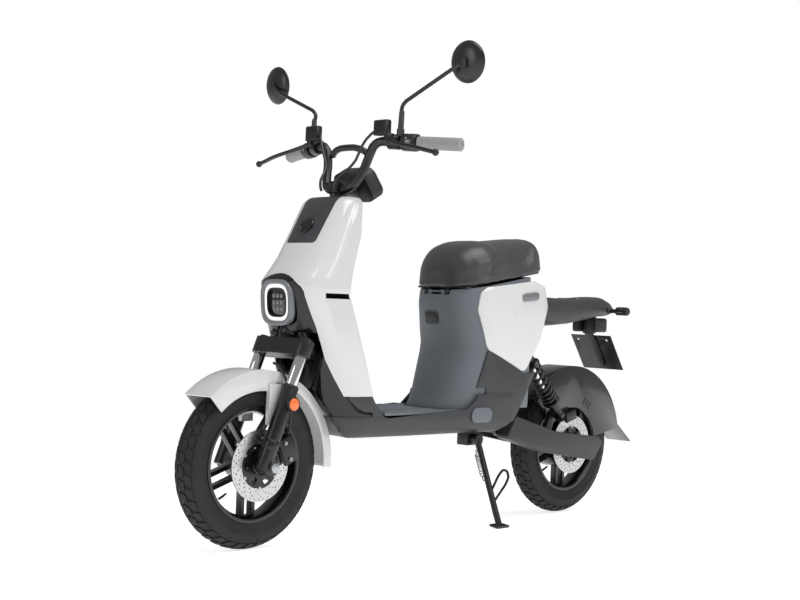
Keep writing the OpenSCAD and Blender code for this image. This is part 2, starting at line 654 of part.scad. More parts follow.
// Handlebar: the lower bar, two risers, the outer ends and a brace across the top
clamp_x = steer_x(tyre_r) - clamp_s * sin(caster);
clamp_z = tyre_r + clamp_s * cos(caster);
bar_bend = [wheelbase - bend_back, bend_y, grip_z + 9];
bar_end = [wheelbase - bar_back, bar_half, grip_z - 3];
bar_straight = grip_len + 92;
function mirrored(points) = [for (p = points) [p[0], -p[1], p[2]]];
function reversed(points) = [for (i = [len(points) - 1:-1:0]) points[i]];
module handlebar() stance() color("#222222") {
    half = smooth([[clamp_x, 0, clamp_z], [clamp_x, 37, clamp_z], [clamp_x - 16, 60, clamp_z + 26],
        bar_bend - [0, 12, 30], bar_bend + [0, 8, 0], bar_end - (bar_straight - 10) * grip_dir]);
    right = reversed(mirrored(half));
    tube(concat([for (i = [0:len(right) - 2]) right[i]], half), bar_r - 0.3, [1, 0, 0], 16);
    both_sides() rod(bar_end - bar_straight * grip_dir, bar_end, bar_r);
    tube(smooth([bar_bend - [2, 22, 28], [bar_bend[0] + 6, 44, grip_z - 6], [bar_bend[0] + 8, 0, grip_z - 2],
        [bar_bend[0] + 6, -44, grip_z - 6], [bar_bend[0] - 2, 22 - bar_bend[1], bar_bend[2] - 28]]), 8, [1, 0, 0]);
}

// Runs along the outer, gripped length of the left handlebar end
grip_dir = (bar_end - bar_bend) / norm(bar_end - bar_bend);
module along_grip(from_end) {
    p = bar_end - from_end * grip_dir;
    translate(p) rotate([0, acos(grip_dir[2]), atan2(grip_dir[1], grip_dir[0])]) children();
}
module grips() stance() color("#9a9a9a") both_sides() difference() {
    along_grip(grip_len) cylinder(h = grip_len + 3, r = grip_r);
    along_grip(grip_len + 1) cylinder(h = grip_len + 1, r = bar_r + 0.05);
}

perch_at = grip_len + 62;
module brake_levers() stance() color("#1b1b1c") both_sides() {
    p = bar_end - perch_at * grip_dir;
    difference() {
        union() {
            along_grip(perch_at + 14) cylinder(h = 28, r = bar_r + 7);
            translate(p + [10, -8, 4]) cube([20, 14, 14]);
            translate(p + [19, -36, 13]) cube([17, 41, 33]);
            along_grip(grip_len + 40) cylinder(h = 38, r = bar_r + 9);
        }
        along_grip(perch_at + 40) cylinder(h = 120, r = bar_r + 0.05);
    }
    tube(smooth([p + [20, -4, 10], p + [44, 40, -10], p + [48, 100, -20], p + [44, 140, -30], p + [42, 171, -37]]),
        5, [0, 0, 1]);
    translate(p + [42, 171, -37]) sphere(r = 8);
}

mirror_c = [wheelbase - 317, mirror_y, mirror_z];
module mirrors() stance() color("#242425") both_sides() {
    p = bar_end - perch_at * grip_dir;
    rod(p + [0, 17, 21], p + [-2, 17, 73], 7.5);
    tube(smooth([p + [-2, 17, 60], p + [-5, 11, 87], [mirror_c[0] + 21, mirror_y - 29, mirror_z - 20],
        mirror_c + [12, -8, -6]], 12), 4.5, [1, 0, 0]);
    translate(mirror_c) rotate([0, -84, 4]) {
        cylinder(h = 7, r = mirror_r);
        translate([0, 0, -9]) cylinder(h = 9.5, r1 = mirror_r - 13, r2 = mirror_r - 1);
        translate([-14, -10, -16]) cube([22, 20, 14]);
    }
}

module display() stance() color("#232427") {
    translate([clamp_x - 46, 0, clamp_z + 8]) rotate([0, -60, 0])
        linear_extrude(40) offset(r = 22) polygon([[-16, 40], [-16, -40], [16, -34], [16, 34]]);
    translate([clamp_x - 64, -14, clamp_z - 8]) cube([36, 28, 16]);
}

module brake_hoses() stance() color("#1b1b1c") {
    p = bar_end - perch_at * grip_dir;
    both_sides() tube(smooth([p + [28, -39.6, 24], p + [40, -58, 6], p + [44, -72, -24], p + [46, -92, -60],
        [clamp_x + 38, 26, clamp_z + 22], [clamp_x + 32, 22, clamp_z - 4]]), 3.2, [1, 0, 0.1], 8);
}

module front_fender() stance() color("white") {
    difference() {
        union() {
            on_axle(wheelbase) fender_arc(tyre_r + fender_gap, tyre_w / 2 + 13, 20, -184, 88);
            on_axle(wheelbase) fender_arc(tyre_r + fender_gap, tyre_w / 2 + 13, 44, -102, 55);
            both_sides() translate([wheelbase - 46, leg_y - slider_r - 12.6, tyre_d - 100]) cube([32, 12, 90]);
        }
        both_sides() steering() translate([0, leg_y, 0]) cylinder(h = 600, r = slider_r + 0.3);
    }
}
module fork_reflectors() stance() color("orange") both_sides()
    steering() translate([-4, leg_y + slider_r + 0.4, slider_top - 34]) rotate([-90, 0, 0]) cylinder(h = 12, r = 17);

// Side stand
module stand_bracket() stance() color("#222222") difference() {
    union() {
        translate([stand_pivot[0] - 20, rail_y + 11.4, stand_pivot[2] - 16]) cube([40, 35.4, 34]);
        translate([stand_pivot[0] - 20, rail_y + 11.4, stand_pivot[2]]) cube([40, 8, 50]);
    }
    rod([stand_pivot[0], 0, stand_pivot[2]], [stand_pivot[0], 200, stand_pivot[2]], 5 + running_gap);
}
module side_stand() stance() color("#1b1b1c") {
    foot = [stand_foot[0], stand_foot[1], 24];
    rod([stand_pivot[0], stand_pivot[1] - 8, stand_pivot[2]], [stand_pivot[0], stand_pivot[1] + 14, stand_pivot[2]], 14);
    rod([stand_pivot[0], stand_pivot[1] - 30, stand_pivot[2]], [stand_pivot[0], stand_pivot[1] + 2, stand_pivot[2]], 5);
    tube(smooth([[stand_pivot[0], stand_pivot[1] + 6, stand_pivot[2]], [foot[0] - 4, foot[1] - 20, foot[2] + 40],
        foot + [0, 0, 3]]), stand_r, [1, 0, 0]);
    translate(foot) rotate([-lean, 0, 0]) translate([-22, -14, 0]) cube([44, 28, 6]);
}

// Seat
seat_stations = [[0, 0.45, 0.29], [0.03, 0.62, 0.553], [0.08, 0.80, 0.741], [0.15, 0.95, 0.869], [0.25, 1, 0.956],
    [0.5, 0.93, 1], [0.75, 0.88, 0.956], [0.86, 0.85, 0.856], [0.93, 0.72, 0.714], [0.97, 0.55, 0.553], [1, 0.38, 0.29]];
function seat_ring(s) =
    let (x = seat_front + (seat_rear - seat_front) * s[0], base = seat_line(x), t = seat_thick * s[1], w = seat_half * s[2])
    [for (a = [0:12:348])
        [x, w * power(cos(a), a < 180 ? 0.62 : 0.35),
            base + (sin(a) > 0 ? t * power(sin(a), 0.75) : 0.02 * sin(a)) ]];
module seat_cushion() stance() color("#4a4b4d")
    mirror([1, 0, 0]) loft([for (s = seat_stations) [for (p = seat_ring(s)) [-p[0], p[1], p[2]]]]);
module seat_base() stance() color("#1b1b1c") {
    translate([seat_front - 30, 0, seat_line(seat_front - 30) - 5.3]) rotate([0, atan(seat_slope), 0])
        translate([seat_rear - seat_front + 64, 34 - seat_half, 0]) cube([seat_front - seat_rear - 64, 2 * seat_half - 68, 5]);
    both_sides() translate([hinge_x, 31, hinge_z]) difference() {
        union() {
            rotate([-90, 0, 0]) cylinder(h = 6, r = 6);
            translate([-24, 0, 0]) cube([24, 6, 9.6]);
        }
        translate([0, -1, 0]) rotate([-90, 0, 0]) cylinder(h = 8, r = 3 + running_gap);
    }
}

main_frame();
front_shell();
nose_panel();
headlight();
emblem_panel();
inner_shield();
lower_body();
floorboard();
seat_box();
side_panels();
side_caps();
battery();
tail_cowl();
tail_light();
plate_bracket();
number_plate();
rear_turn_signals();
rear_fender();
swingarm();
swingarm_cover();
shock_absorbers();
rear_axle();
rear_caliper();
stand_bracket();
steering_stem();
fork_stanchions();
fork_sliders();
front_axle();
front_fender();
front_caliper();
fork_reflectors();
handlebar();
grips();
brake_levers();
mirrors();
display();
brake_hoses();
front_rim();
front_tyre();
front_disc();
rear_rim();
rear_tyre();
rear_disc();
side_stand();
seat_cushion();
seat_base();
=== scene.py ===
import json
from math import cos, pi, radians, sin, tan

import bmesh
import bpy
from mathutils import Matrix, Vector

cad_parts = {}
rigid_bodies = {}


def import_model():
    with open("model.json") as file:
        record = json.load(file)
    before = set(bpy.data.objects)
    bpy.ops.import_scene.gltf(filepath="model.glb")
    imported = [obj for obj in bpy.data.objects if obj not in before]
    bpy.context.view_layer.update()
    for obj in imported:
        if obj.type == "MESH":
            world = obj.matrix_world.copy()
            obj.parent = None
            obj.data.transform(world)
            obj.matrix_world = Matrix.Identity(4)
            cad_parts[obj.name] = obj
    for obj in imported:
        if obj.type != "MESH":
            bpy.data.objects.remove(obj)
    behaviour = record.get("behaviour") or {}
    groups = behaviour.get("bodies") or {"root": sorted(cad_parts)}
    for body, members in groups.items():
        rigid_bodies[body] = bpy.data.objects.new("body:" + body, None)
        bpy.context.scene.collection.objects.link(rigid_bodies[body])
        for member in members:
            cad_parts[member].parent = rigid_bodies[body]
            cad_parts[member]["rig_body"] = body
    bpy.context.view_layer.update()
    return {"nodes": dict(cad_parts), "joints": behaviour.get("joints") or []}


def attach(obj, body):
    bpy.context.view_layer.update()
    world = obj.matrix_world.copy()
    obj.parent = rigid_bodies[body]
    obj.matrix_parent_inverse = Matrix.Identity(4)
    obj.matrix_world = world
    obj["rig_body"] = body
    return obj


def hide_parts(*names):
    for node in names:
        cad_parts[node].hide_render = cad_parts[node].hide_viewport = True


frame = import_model()

# ---- Sizes of the frame, in millimetres ----
CASTER_DEGREES = 22
LEAN, CASTER = radians(6), radians(CASTER_DEGREES)
WHEELBASE, TYRE_R, TYRE_W, BEAD_R = 1120, 191, 66, 127
TYRE_D = 2 * TYRE_R
AXIS_LEAD, LEG_Y = 13, 72
FRONT_DISC_R, REAR_DISC_R, DISC_T = 80.5, 80, 4
FRONT_DISC_Y, REAR_DISC_Y = 43, 40
GRIP_R, GRIP_LEN, BAR_R = 15.5, 106, 11
MIRROR_R, MIRROR_Y, MIRROR_Z = 48, 329, TYRE_D + 728
LAMP_HALF = 53
SEAT_FRONT, SEAT_REAR, SEAT_HALF, SEAT_SLOPE, SEAT_LOW = 532, 182, 119, 0.18, TYRE_D + 225
FLOOR_Z = TYRE_D - 77

axle = next(j["pos_m"] for j in frame["joints"] if j["name"] == "rear_wheel_spin")
TILT = Matrix.Rotation(-LEAN, 4, "X") @ Matrix.Diagonal((0.001, 0.001, 0.001, 1))
STAND = Matrix.Translation(Vector(axle) - TILT @ Vector((0, 0, TYRE_R))) @ TILT


def steer_x(z):
    return WHEELBASE + AXIS_LEAD - (z - TYRE_R) * tan(CASTER)


def move(x, y, z):
    return Matrix.Translation((x, y, z))


def turn(degrees, axis):
    return Matrix.Rotation(radians(degrees), 4, axis)


FORK = move(steer_x(TYRE_R), 0, TYRE_R) @ turn(-CASTER_DEGREES, "Y")
LEFT, RIGHT = Matrix.Identity(4), Matrix.Diagonal((1, -1, 1, 1))
SIDES = (("left", LEFT), ("right", RIGHT))


def on_axle(x):
    """Z points to the left along the axle."""
    return move(x, 0, TYRE_R) @ turn(-90, "X")


# ---- Camera ----
lens = bpy.data.cameras.new("camera")
camera = bpy.data.objects.new("camera", lens)
bpy.context.scene.collection.objects.link(camera)
bpy.context.scene.camera = camera
lens.lens, lens.sensor_width = 63.56, 36
lens.clip_start, lens.clip_end = 0.05, 100
yaw, pitch, roll = radians(-135.228), radians(0.219), radians(2.234)
ahead = Vector((cos(pitch) * cos(yaw), cos(pitch) * sin(yaw), sin(pitch)))
level = Vector((sin(yaw), -cos(yaw), 0))
above = level.cross(ahead)
right_way = level * cos(roll) + above * sin(roll)
up_way = above * cos(roll) - level * sin(roll)
turned = Matrix((right_way, up_way, -ahead)).transposed().to_4x4()
lean_only = Matrix.Rotation(-LEAN, 4, "X")
viewpoint = STAND @ Vector((3137.9, 2464.8, 558.7))
camera.matrix_world = Matrix.Translation(viewpoint) @ lean_only @ turned


# ---- Finishes ----
GLOSS_PATCH = 40  # millimetres across the patches where the gloss changes


def srgb(hex_colour):
    """An sRGB hex value as the linear colour that a shader takes."""
    parts = [int(hex_colour[i : i + 2], 16) / 255 for i in (1, 3, 5)]
    return [c / 12.92 if c < 0.04045 else ((c + 0.055) / 1.055) ** 2.4 for c in parts] + [1]


def node(tree, kind, inputs=(), **settings):
    """Adds a node; inputs pairs each socket's name or number with a value or another node's output."""
    made = tree.nodes.new(kind)
    for name, value in settings.items():
        setattr(made, name, value)
    for socket, value in dict(inputs).items():
        if isinstance(value, bpy.types.NodeSocket):
            tree.links.new(value, made.inputs[socket])
        else:
            made.inputs[socket].default_value = value
    return made


def per_mm(size):
    """Noise scale that gives features this many millimetres across."""
    return 1000 / size


def finish(
    name,
    colour,
    rough,
    metal=0,
    ior=1.5,
    grain=0.5,
    relief=0.05,
    wear=0.05,
    coat=0,
    tint=None,
    tint_mm=3,
    glow=0,
):
    """A surface with a fine grain of a real size and small changes of gloss.

    With tint, a second colour comes through in specks.
    """
    material = bpy.data.materials.new(name)
    material.use_nodes = True
    tree = material.node_tree
    shader = tree.nodes["Principled BSDF"]
    place = node(tree, "ShaderNodeTexCoord")
    coarse = node(
        tree,
        "ShaderNodeTexNoise",
        {"Vector": place.outputs["Object"], "Scale": per_mm(GLOSS_PATCH), "Detail": 3},
    )
    gloss = node(
        tree,
        "ShaderNodeMapRange",
        {"Value": coarse.outputs[0], "To Min": max(rough - wear, 0.02), "To Max": rough + wear},
    )
    tree.links.new(gloss.outputs[0], shader.inputs["Roughness"])
    fine = node(
        tree,
        "ShaderNodeTexNoise",
        {"Vector": place.outputs["Object"], "Scale": per_mm(grain * 2), "Detail": 2},
    )
    bump = node(
        tree, "ShaderNodeBump", {"Height": fine.outputs[0], "Strength": relief, "Distance": grain / 1000}
    )
    tree.links.new(bump.outputs[0], shader.inputs["Normal"])
    shader.inputs["Base Color"].default_value = srgb(colour)
    shader.inputs["Metallic"].default_value = metal
    if not metal:
        shader.inputs["IOR"].default_value = ior
    shader.inputs["Coat Weight"].default_value = coat
    if glow:
        shader.inputs["Emission Color"].default_value = srgb(colour)
        shader.inputs["Emission Strength"].default_value = glow
    if tint:
        specks = node(
            tree,
            "ShaderNodeTexNoise",
            {"Vector": place.outputs["Object"], "Scale": per_mm(tint_mm), "Detail": 4},
        )
        split = node(
            tree, "ShaderNodeMapRange", {"Value": specks.outputs[0], "From Min": 0.42, "From Max": 0.62}
        )
        mixed = node(
            tree, "ShaderNodeMix", {6: srgb(colour), 7: srgb(tint), 0: split.outputs[0]}, data_type="RGBA"
        )
        tree.links.new(mixed.outputs[2], shader.inputs["Base Color"])
    return material


# Moulded ABS with clear lacquer: clean white with sharp highlights
WHITE = finish("white_lacquered_abs", "#cbcbcb", 0.16, ior=1.54, grain=1.5, relief=0.01, wear=0.03, coat=0.5)
# Lacquered black ABS round the lamp
NOSE = finish("black_lacquered_abs", "#08080a", 0.2, ior=1.5, grain=1.5, relief=0.01, wear=0.03)
# Polypropylene from a spark-eroded mould: even dull grain
DARK = finish(
    "grained_grey_polypropylene", "#2f3032", 0.48, ior=1.49, grain=0.8, relief=0.25, wear=0.06, tint="#343537"
)
BLUE_GREY = finish(
    "grained_blue_grey_polypropylene", "#5e646a", 0.48, ior=1.49, grain=0.8, relief=0.2, tint="#63696f"
)
FLOOR_PAD = finish("blue_grey_floor_rubber", "#747a80", 0.6, ior=1.52, grain=1.2, relief=0.4, wear=0.08)
FENDER = finish(
    "polished_dark_polypropylene", "#232325", 0.2, ior=1.5, grain=1.4, relief=0.01, wear=0.04, coat=0.3
)
# Painted speckle on the front panel: two greys in fine flakes
SPECKLE = finish(
    "speckled_grey_lacquer", "#26272a", 0.42, ior=1.5, grain=0.6, relief=0.2, tint="#414346", tint_mm=1.6
)
STEEL = finish("black_powder_coated_steel", "#121213", 0.36, ior=1.5, grain=0.7, relief=0.2, wear=0.08)
CAST = finish("satin_black_cast_aluminium", "#0a0a0b", 0.33, ior=1.5, grain=0.9, relief=0.12, wear=0.07)
ALLOY = finish(
    "black_painted_alloy_wheel", "#070708", 0.24, ior=1.5, grain=1.2, relief=0.04, wear=0.05, coat=0.15
)
CHROME = finish("polished_hard_chrome", "#d8d9da", 0.08, metal=1, grain=2, relief=0.01, wear=0.03)
DISC_STEEL = finish("ground_stainless_steel", "#b9babb", 0.28, metal=1, grain=0.4, relief=0.12, wear=0.06)
ZINC = finish("zinc_plated_steel", "#a9abad", 0.34, metal=1, grain=0.6, relief=0.15, wear=0.08)
TYRE = finish("tyre_rubber", "#0e0e0f", 0.68, ior=1.5, grain=0.8, relief=0.25, wear=0.08, tint="#131314")
GRIP = finish("light_grey_moulded_rubber", "#8b8b8a", 0.55, ior=1.5, grain=0.5, relief=0.06)
PLASTIC = finish("matte_black_nylon", "#0f0f10", 0.45, ior=1.5, grain=0.8, relief=0.2)
SHELL = finish("satin_mirror_shell", "#19191a", 0.3, ior=1.5, grain=1.2, relief=0.02, wear=0.03)
HOSE = finish("smooth_black_hose", "#101011", 0.4, ior=1.52, grain=1, relief=0.05)
# Seat cover: vinyl with a pebble grain about a millimetre across
VINYL = finish(
    "grained_seat_vinyl", "#38393b", 0.35, ior=1.5, grain=1.1, relief=0.15, wear=0.05, tint="#3d3e40"
)
BEZEL = finish("silver_painted_bezel", "#6b6e72", 0.26, ior=1.5, grain=0.8, relief=0.05, coat=0.3)
LENS = finish("dark_lamp_lens", "#101114", 0.06, ior=1.58, grain=3, relief=0.01, wear=0.02, coat=0.6)
LED = finish("milky_light_guide", "#fbfbfa", 0.2, ior=1.49, grain=1.5, relief=0.02, glow=0.35)
ORANGE = finish("orange_prism_reflector", "#e8702a", 0.12, ior=1.49, grain=1.6, relief=0.4, coat=0.5)
RED = finish("smoked_red_lens", "#3b1012", 0.12, ior=1.49, grain=1.4, relief=0.15, coat=0.5)
MIRROR = finish("silvered_mirror_glass", "#e4e6e8", 0.03, metal=1, grain=4, relief=0.0, wear=0.01)
SCREEN = finish("display_glass", "#0b0c0e", 0.07, ior=1.52, grain=3, relief=0.0, wear=0.02, coat=0.4)


# ---- Making pieces ----
WELD, SLIVER = 0.00002, 0.00001  # metres: points closer than this are one
CREASE_DEGREES, MERGE_DEGREES = 38, 0.6


def joined(*shapes):
    """Puts (points, faces) shapes together into one."""
    points, faces = [], []
    for more_points, more_faces in shapes:
        start = len(points)
        points += more_points
        faces += [[i + start for i in face] for face in more_faces]
    return points, faces


def placed(matrix, shape):
    points, faces = shape
    flip = matrix.determinant() < 0
    return [matrix @ Vector(p) for p in points], [f[::-1] if flip else f for f in faces]


def skinned(rings, closed=False):
    """Joins rings of points, with an end face on each end unless the rings close on themselves."""
    n, m = len(rings[0]), len(rings)
    faces = []
    for i in range(m if closed else m - 1):
        for j in range(n):
            k, up = (j + 1) % n, (i + 1) % m
            faces.append([i * n + j, i * n + k, up * n + k, up * n + j])
    if not closed:
        faces += [list(range(n))[::-1], [(m - 1) * n + j for j in range(n)]]
    return [Vector(p) for ring in rings for p in ring], faces


def turned_shape(profile, steps=64):
    """Spins a closed outline of (radius, height) about Z. A radius of 0 makes a pole."""
    rings = [
        [(r * cos(2 * pi * k / steps), r * sin(2 * pi * k / steps), h) for r, h in profile]
        for k in range(steps)
    ]
    return skinned(rings, closed=True)


def bar(points, radius, sides=12):
    """A round bar along points."""
    path = [Vector(p) for p in points]
    radii = radius if isinstance(radius, (list, tuple)) else [radius] * len(path)
    side = None
    rings = []
    for i, p in enumerate(path):
        way = (path[min(i + 1, len(path) - 1)] - path[max(i - 1, 0)]).normalized()
        side = (side or way.orthogonal()) - way * (side or way.orthogonal()).dot(way)
        side.normalize()
        other = way.cross(side)
        rings.append(
            [
                p + radii[i] * (cos(a) * side + sin(a) * other)
                for a in (2 * pi * k / sides for k in range(sides))
            ]
        )
    return skinned(rings)


def eased(points, times=2, reach=10):
    """Rounds a path's corners."""
    path = [Vector(p) for p in points]
    for _ in range(times):
        new = [path[0]]
        for a, b, c in zip(path, path[1:], path[2:]):
            new.append(b + (a - b).normalized() * min(reach, 0.35 * (a - b).length))
            new.append(b + (c - b).normalized() * min(reach, 0.35 * (c - b).length))
        path = new + [path[-1]]
        reach *= 0.35
    return path


def block(x, y, z, at=(0, 0, 0)):
    """A box of three sizes about a point."""
    low = [
        Vector((sx * x / 2 + at[0], sy * y / 2 + at[1], -z / 2 + at[2]))
        for sx, sy in ((-1, -1), (1, -1), (1, 1), (-1, 1))
    ]
    return skinned([low, [p + Vector((0, 0, z)) for p in low]])


def slab(outline, thickness, low=0):
    """A plate from an outline of (x, y)."""
    return skinned([[(x, y, low) for x, y in outline], [(x, y, low + thickness) for x, y in outline]])


def power(v, p):
    return (1 if v >= 0 else -1) * abs(v) ** p


def rounded(half_x, half_y, squareness, steps=48, centre=(0, 0)):
    """An outline between an oval and a rectangle."""
    e = 2 / squareness
    return [
        (
            centre[0] + half_x * power(cos(2 * pi * k / steps), e),
            centre[1] + half_y * power(sin(2 * pi * k / steps), e),
        )
        for k in range(steps)
    ]


def settle(thing):
    """Turns a finished object's modifiers into its mesh and puts its place in that mesh."""
    bpy.context.view_layer.update()
    mesh = bpy.data.meshes.new_from_object(thing.evaluated_get(bpy.context.evaluated_depsgraph_get()))
    thing.modifiers.clear()
    thing.data = mesh
    thing.data.transform(thing.matrix_world)
    thing.matrix_world = Matrix.Identity(4)


def piece(name, body, material, shape, replaced=(), round_edge=1.0, crease=CREASE_DEGREES):
    """A shown piece: its shape in millimetres, its edges rounded, riding on a CAD body."""
    mesh = bpy.data.meshes.new(name)
    points, faces = placed(STAND, shape)
    mesh.from_pydata([tuple(p) for p in points], [], faces)
    thing = bpy.data.objects.new(name, mesh)
    bpy.context.scene.collection.objects.link(thing)
    return dress(thing, body, material, replaced, round_edge, crease)


def dress(thing, body, material, replaced=(), round_edge=1.0, crease=CREASE_DEGREES):
    """Cleans a shape, rounds its edges, gives it a finish and hands it to its CAD body."""
    shape = bmesh.new()
    shape.from_mesh(thing.data)
    bmesh.ops.remove_doubles(shape, verts=shape.verts, dist=WELD)
    bmesh.ops.dissolve_degenerate(shape, edges=shape.edges, dist=SLIVER)
    bmesh.ops.recalc_face_normals(shape, faces=shape.faces)
    shape.to_mesh(thing.data)
    shape.free()
    if round_edge:
        edge = thing.modifiers.new("edge", "BEVEL")
        edge.width, edge.segments = round_edge / 1000, 2
        edge.limit_method, edge.angle_limit = "ANGLE", radians(crease)
        edge.use_clamp_overlap = True
    settle(thing)
    thing.data.shade_smooth()
    thing.data.set_sharp_from_angle(angle=radians(crease))
    thing.data.materials.clear()
    thing.data.materials.append(material)
    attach(thing, body)
    if replaced:
        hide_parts(*replaced)
    return thing


def moulded(cad_node, material, round_edge=1.0):
    """A CAD node's own shape with merged faces and rounded edges."""
    source = frame["nodes"][cad_node]
    mesh = source.data.copy()
    custom = mesh.attributes.get("custom_normal")
    if custom:
        mesh.attributes.remove(custom)
    thing = bpy.data.objects.new(cad_node + "_finished", mesh)
    bpy.context.scene.collection.objects.link(thing)
    shape = bmesh.new()
    shape.from_mesh(mesh)
    bmesh.ops.remove_doubles(shape, verts=shape.verts, dist=WELD)
    bmesh.ops.dissolve_limit(shape, angle_limit=radians(MERGE_DEGREES), verts=shape.verts, edges=shape.edges)
    shape.to_mesh(mesh)
    shape.free()
    return dress(thing, source["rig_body"], material, (cad_node,), round_edge)


# ---- Repeats ----
def repeat_tree():
    """Copies of one shape, each a further step and turn on from the last."""
    tree = bpy.data.node_groups.new("repeat", "GeometryNodeTree")
    for name, kind, way in (
        ("Shape", "NodeSocketGeometry", "INPUT"),
        ("Count", "NodeSocketInt", "INPUT"),
        ("Step", "NodeSocketVector", "INPUT"),
        ("Turn", "NodeSocketVector", "INPUT"),
        ("Finish", "NodeSocketMaterial", "INPUT"),
        ("Copies", "NodeSocketGeometry", "OUTPUT"),
    ):
        tree.interface.new_socket(name, in_out=way, socket_type=kind)
    given = node(tree, "NodeGroupInput")
    index = node(tree, "GeometryNodeInputIndex")
    step = node(
        tree, "ShaderNodeVectorMath", {0: given.outputs["Step"], 3: index.outputs[0]}, operation="SCALE"
    )
    angle = node(
        tree, "ShaderNodeVectorMath", {0: given.outputs["Turn"], 3: index.outputs[0]}, operation="SCALE"
    )
    points = node(tree, "GeometryNodePoints", {"Count": given.outputs["Count"], "Position": step.outputs[0]})
    copies = node(
        tree,
        "GeometryNodeInstanceOnPoints",
        {"Points": points.outputs[0], "Instance": given.outputs["Shape"], "Rotation": angle.outputs[0]},
    )
    solid = node(tree, "GeometryNodeRealizeInstances", {0: copies.outputs[0]})
    painted = node(
        tree, "GeometryNodeSetMaterial", {"Geometry": solid.outputs[0], "Material": given.outputs["Finish"]}
    )
    node(tree, "NodeGroupOutput", {0: painted.outputs[0]})
    return tree


REPEAT = repeat_tree()


def repeated(shape, count, step=(0, 0, 0), turn_by=(0, 0, 0)):
    """Runs the repeat tree and gives back the (points, faces) of all copies."""
    mesh = bpy.data.meshes.new("one")
    mesh.from_pydata([tuple(p) for p in shape[0]], [], shape[1])
    thing = bpy.data.objects.new("one", mesh)
    bpy.context.scene.collection.objects.link(thing)
    copies = thing.modifiers.new("repeat", "NODES")
    copies.node_group = REPEAT
    sockets = {s.name: s.identifier for s in REPEAT.interface.items_tree if s.in_out == "INPUT"}
    for name, value in (("Count", count), ("Step", step), ("Turn", turn_by), ("Finish", STEEL)):
        copies[sockets[name]] = value
    settle(thing)
    made = [v.co.copy() for v in thing.data.vertices], [list(p.vertices) for p in thing.data.polygons]
    bpy.data.objects.remove(thing)
    return made


def cut(thing, cutters):
    """Cuts closed shapes out of a finished piece."""
    mesh = bpy.data.meshes.new("cutters")
    points, faces = placed(STAND, cutters)
    mesh.from_pydata([tuple(p) for p in points], [], faces)
    clean = bmesh.new()
    clean.from_mesh(mesh)
    bmesh.ops.remove_doubles(clean, verts=clean.verts, dist=SLIVER)
    bmesh.ops.dissolve_degenerate(clean, edges=clean.edges, dist=SLIVER)
    bmesh.ops.recalc_face_normals(clean, faces=clean.faces)
    clean.to_mesh(mesh)
    clean.free()
    tool = bpy.data.objects.new("cutters", mesh)
    bpy.context.scene.collection.objects.link(tool)
    away = thing.modifiers.new("cut", "BOOLEAN")
    away.object, away.operation, away.solver = tool, "DIFFERENCE", "EXACT"
    bpy.context.view_layer.update()
    mesh = bpy.data.meshes.new_from_object(thing.evaluated_get(bpy.context.evaluated_depsgraph_get()))
    thing.modifiers.clear()
    thing.data = mesh
    bpy.data.objects.remove(tool)


def cylinder(r, low, high, steps=24):
    """An upright cylinder between two heights."""
    return turned_shape([(0, low), (r, low), (r, high), (0, high)], steps)


def bolt(at_point, matrix, r=4, depth=3):
    """A domed socket-head screw."""
    head = [
        (0, 0),
        (r, 0),
        (r, depth * 0.6),
        (r * 0.8, depth),
        (r * 0.45, depth),
        (r * 0.4, depth * 0.5),
        (0, depth * 0.5),
    ]
    return placed(matrix @ move(*at_point), turned_shape(head, 16))


# ---- Panels from the CAD shapes ----
moulded("front_shell", WHITE, 1.2)
moulded("side_panels", WHITE, 1.0)
moulded("front_fender", WHITE, 0.9)
moulded("nose_panel", NOSE, 1.0)
moulded("emblem_panel", SPECKLE, 0.8)
moulded("rear_fender", FENDER, 0.9)
for cad_node in ("inner_shield", "lower_body", "tail_cowl", "swingarm_cover"):
    moulded(cad_node, DARK, 0.9)
for cad_node in ("seat_box", "side_caps"):
    moulded(cad_node, BLUE_GREY, 1.0)
for cad_node in ("main_frame", "swingarm", "stand_bracket", "steering_stem", "handlebar", "side_stand"):
    moulded(cad_node, STEEL, 0.8)
for cad_node in ("fork_sliders", "front_caliper", "rear_caliper", "brake_levers"):
    moulded(cad_node, CAST, 1.2)
for cad_node in ("front_rim", "rear_rim"):
    moulded(cad_node, ALLOY, 1.5)
for cad_node in ("front_axle", "rear_axle"):
    moulded(cad_node, ZINC, 0.8)
moulded("fork_stanchions", CHROME, 0.3)
moulded("brake_hoses", HOSE, 0)
moulded("seat_base", PLASTIC, 0.8)
moulded("plate_bracket", PLASTIC, 0.8)
moulded("display", PLASTIC, 3.0)
moulded("battery", PLASTIC, 4.0)
moulded("floorboard", BLUE_GREY, 1.0)


# ---- Tyres: a smooth carcass with tread blocks in a forward-pointing pattern ----
SECTION_R = TYRE_W / 2
CROWN_R = TYRE_R - SECTION_R


def on_section(phi, radius, along=0):
    """A point of the tyre's cross-section phi degrees from the crown, turned along degrees round the axle."""
    r, y = CROWN_R + radius * cos(radians(phi)), radius * sin(radians(phi))
    return r * cos(radians(along)), r * sin(radians(along)), y


def tread_block(side, first, last, width, start, low=SECTION_R - 3.6):
    rings = []
    for k in range(5):
        phi = first + (last - first) * k / 4
        middle = start + 0.11 * phi
        corners = (
            (-width / 2, low), (width / 2, low), (width / 2 - 0.35, SECTION_R), (0.35 - width / 2, SECTION_R)
        )
        rings.append([on_section(side * phi, r, middle + a) for a, r in corners])
    return skinned(rings if side > 0 else [ring[::-1] for ring in rings])


